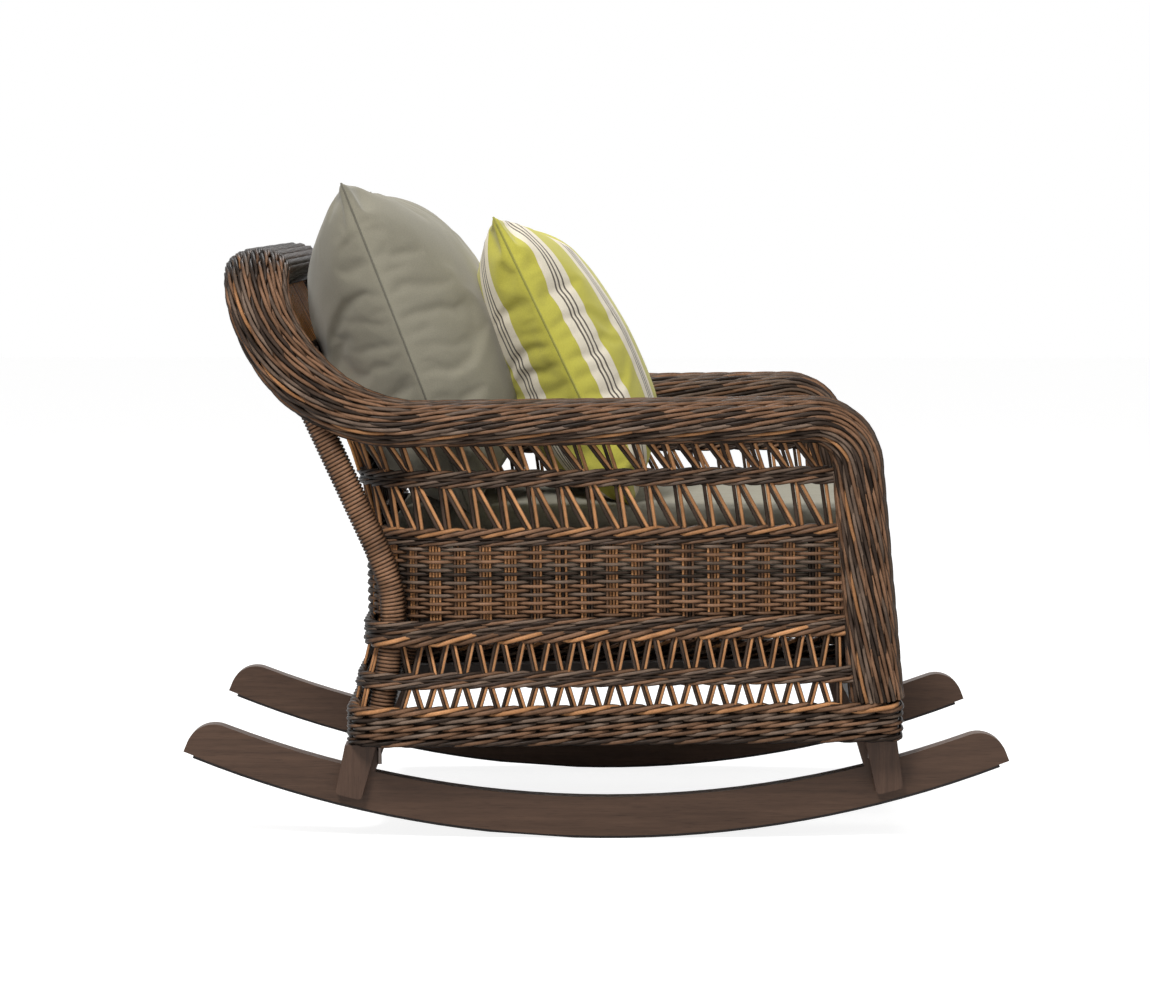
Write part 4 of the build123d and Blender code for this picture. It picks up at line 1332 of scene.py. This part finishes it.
addCushion("backCushion", pillowShape(backPillow), backPillow, taupe, "back_cushion")
addCushion("throwPillow", pillowShape(throwPillow), throwPillow, striped, "throw_pillow")
addSeam("backSeam", backPillow, taupeSeamShade, "back_cushion")
addSeam("throwSeam", throwPillow, limeSeamShade, "throw_pillow")
addCushion("seatCushion", seatShape(), seat, taupe, "seat_cushion")


# CAD parts that stay in view get their finishes.

rockerWood = woodMaterial("rockerWood", (0.054, 0.029, 0.018), (0.088, 0.049, 0.031))
legWood = woodMaterial("legWood", (0.052, 0.028, 0.018), (0.092, 0.052, 0.034), pi / 2)
treadRubber = plainMaterial("treadRubber", (0.022, 0.018, 0.016), 0.75)
paintedTube = plainMaterial("paintedTube", (0.045, 0.030, 0.022), 0.5)
strap = plainMaterial("deckStrap", (0.030, 0.026, 0.023), 0.8)
steel = plainMaterial("steel", (0.16, 0.13, 0.115), 0.42, 1.0)
finishes = (  # the first start of a name that fits counts
    ("rocker_tread", treadRubber),
    ("rocker", rockerWood),
    ("leg_bolts", steel),
    ("leg_screws", steel),
    ("leg_", legWood),
    ("seat_deck", strap),
    ("", paintedTube),
)

for name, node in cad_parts.items():
    finish = next(finish for start, finish in finishes if name.startswith(start))
    for slot in node.material_slots:
        slot.material = finish


# Floor, lights and camera

studio = {
    "floorSize": 30.0,
    "floorTone": 0.86,
    "floorGlow": (0.50, 1.75),  # share of the floor's own light to the camera, and its strength
    "key": ((-1.3, -3.2, 4.4), 1.2, 250.0),
    "fill": ((3.4, -2.6, 2.0), 1.8, 30.0),
    "top": ((-0.3, 2.2, 4.0), 1.8, 95.0),
    "aim": (0, 0, 0.45),
    "world": 0.17,
    "worldTone": (1.0, 0.99, 0.975, 1),
    "lens": 113.9,
    "sensor": 36.0,
    "cameraPlace": (-0.0005, -5.3483, 0.8905),
    "cameraDrop": 4.614,  # degrees below level
    "cameraTurn": 0.330,
}


def blendShaders(tree, factor, first, second, output):
    blend = addNode(tree, "MixShader", [(0, factor), (1, first.outputs[0]), (2, second.outputs[0])])
    tree.links.new(blend.outputs[0], tree.nodes[output].inputs["Surface"])


def addFloor():
    material, tree, surface = nodeTree("floorPaint")
    share, strength = studio["floorGlow"]
    tone = (studio["floorTone"], studio["floorTone"], studio["floorTone"], 1)
    setSockets(tree, surface, [("Base Color", tone), ("Roughness", 0.9)])
    rays = addNode(tree, "LightPath").outputs
    glow = addNode(tree, "Emission", [("Color", (1, 1, 1, 1)), ("Strength", strength)])
    blendShaders(tree, addMath(tree, rays["Is Camera Ray"], share), surface, glow, "Material Output")
    shape = bmesh.new()
    bmesh.ops.create_grid(shape, x_segments=1, y_segments=1, size=studio["floorSize"] / 2)
    newPiece("floor", shape, [material])


def addWorld():
    scene.world = bpy.data.worlds.new("studio")
    scene.world.use_nodes = True
    tree = scene.world.node_tree
    soft = tree.nodes["Background"]
    setSockets(tree, soft, [("Color", studio["worldTone"]), ("Strength", studio["world"])])
    white = addNode(tree, "Background", [("Color", (1, 1, 1, 1)), ("Strength", 1.0)])
    rays = addNode(tree, "LightPath").outputs
    gloss = addMath(tree, rays["Is Camera Ray"], rays["Is Glossy Ray"], "MAXIMUM")
    seen = addMath(tree, gloss, rays["Is Transmission Ray"], "MAXIMUM")
    blendShaders(tree, seen, soft, white, "World Output")


def addLight(name, place, size, power):
    light = bpy.data.lights.new(name, "AREA")
    light.size = size
    light.energy = power
    lamp = bpy.data.objects.new(name, light)
    lamp.location = place
    aim = Vector(studio["aim"]) - Vector(place)
    lamp.rotation_euler = aim.to_track_quat("-Z", "Y").to_euler()
    scene.collection.objects.link(lamp)


def addCamera():
    lens = bpy.data.cameras.new("camera")
    lens.lens = studio["lens"]
    lens.sensor_width = studio["sensor"]
    camera = bpy.data.objects.new("camera", lens)
    camera.location = studio["cameraPlace"]
    camera.rotation_euler = (radians(90 - studio["cameraDrop"]), 0, radians(studio["cameraTurn"]))
    scene.collection.objects.link(camera)
    scene.camera = camera


addFloor()
addWorld()
for name in ("key", "fill", "top"):
    addLight(name, *studio[name])
addCamera()
scene.view_settings.view_transform = "Standard"
print("studio ready")

bpy.context.view_layer.update()
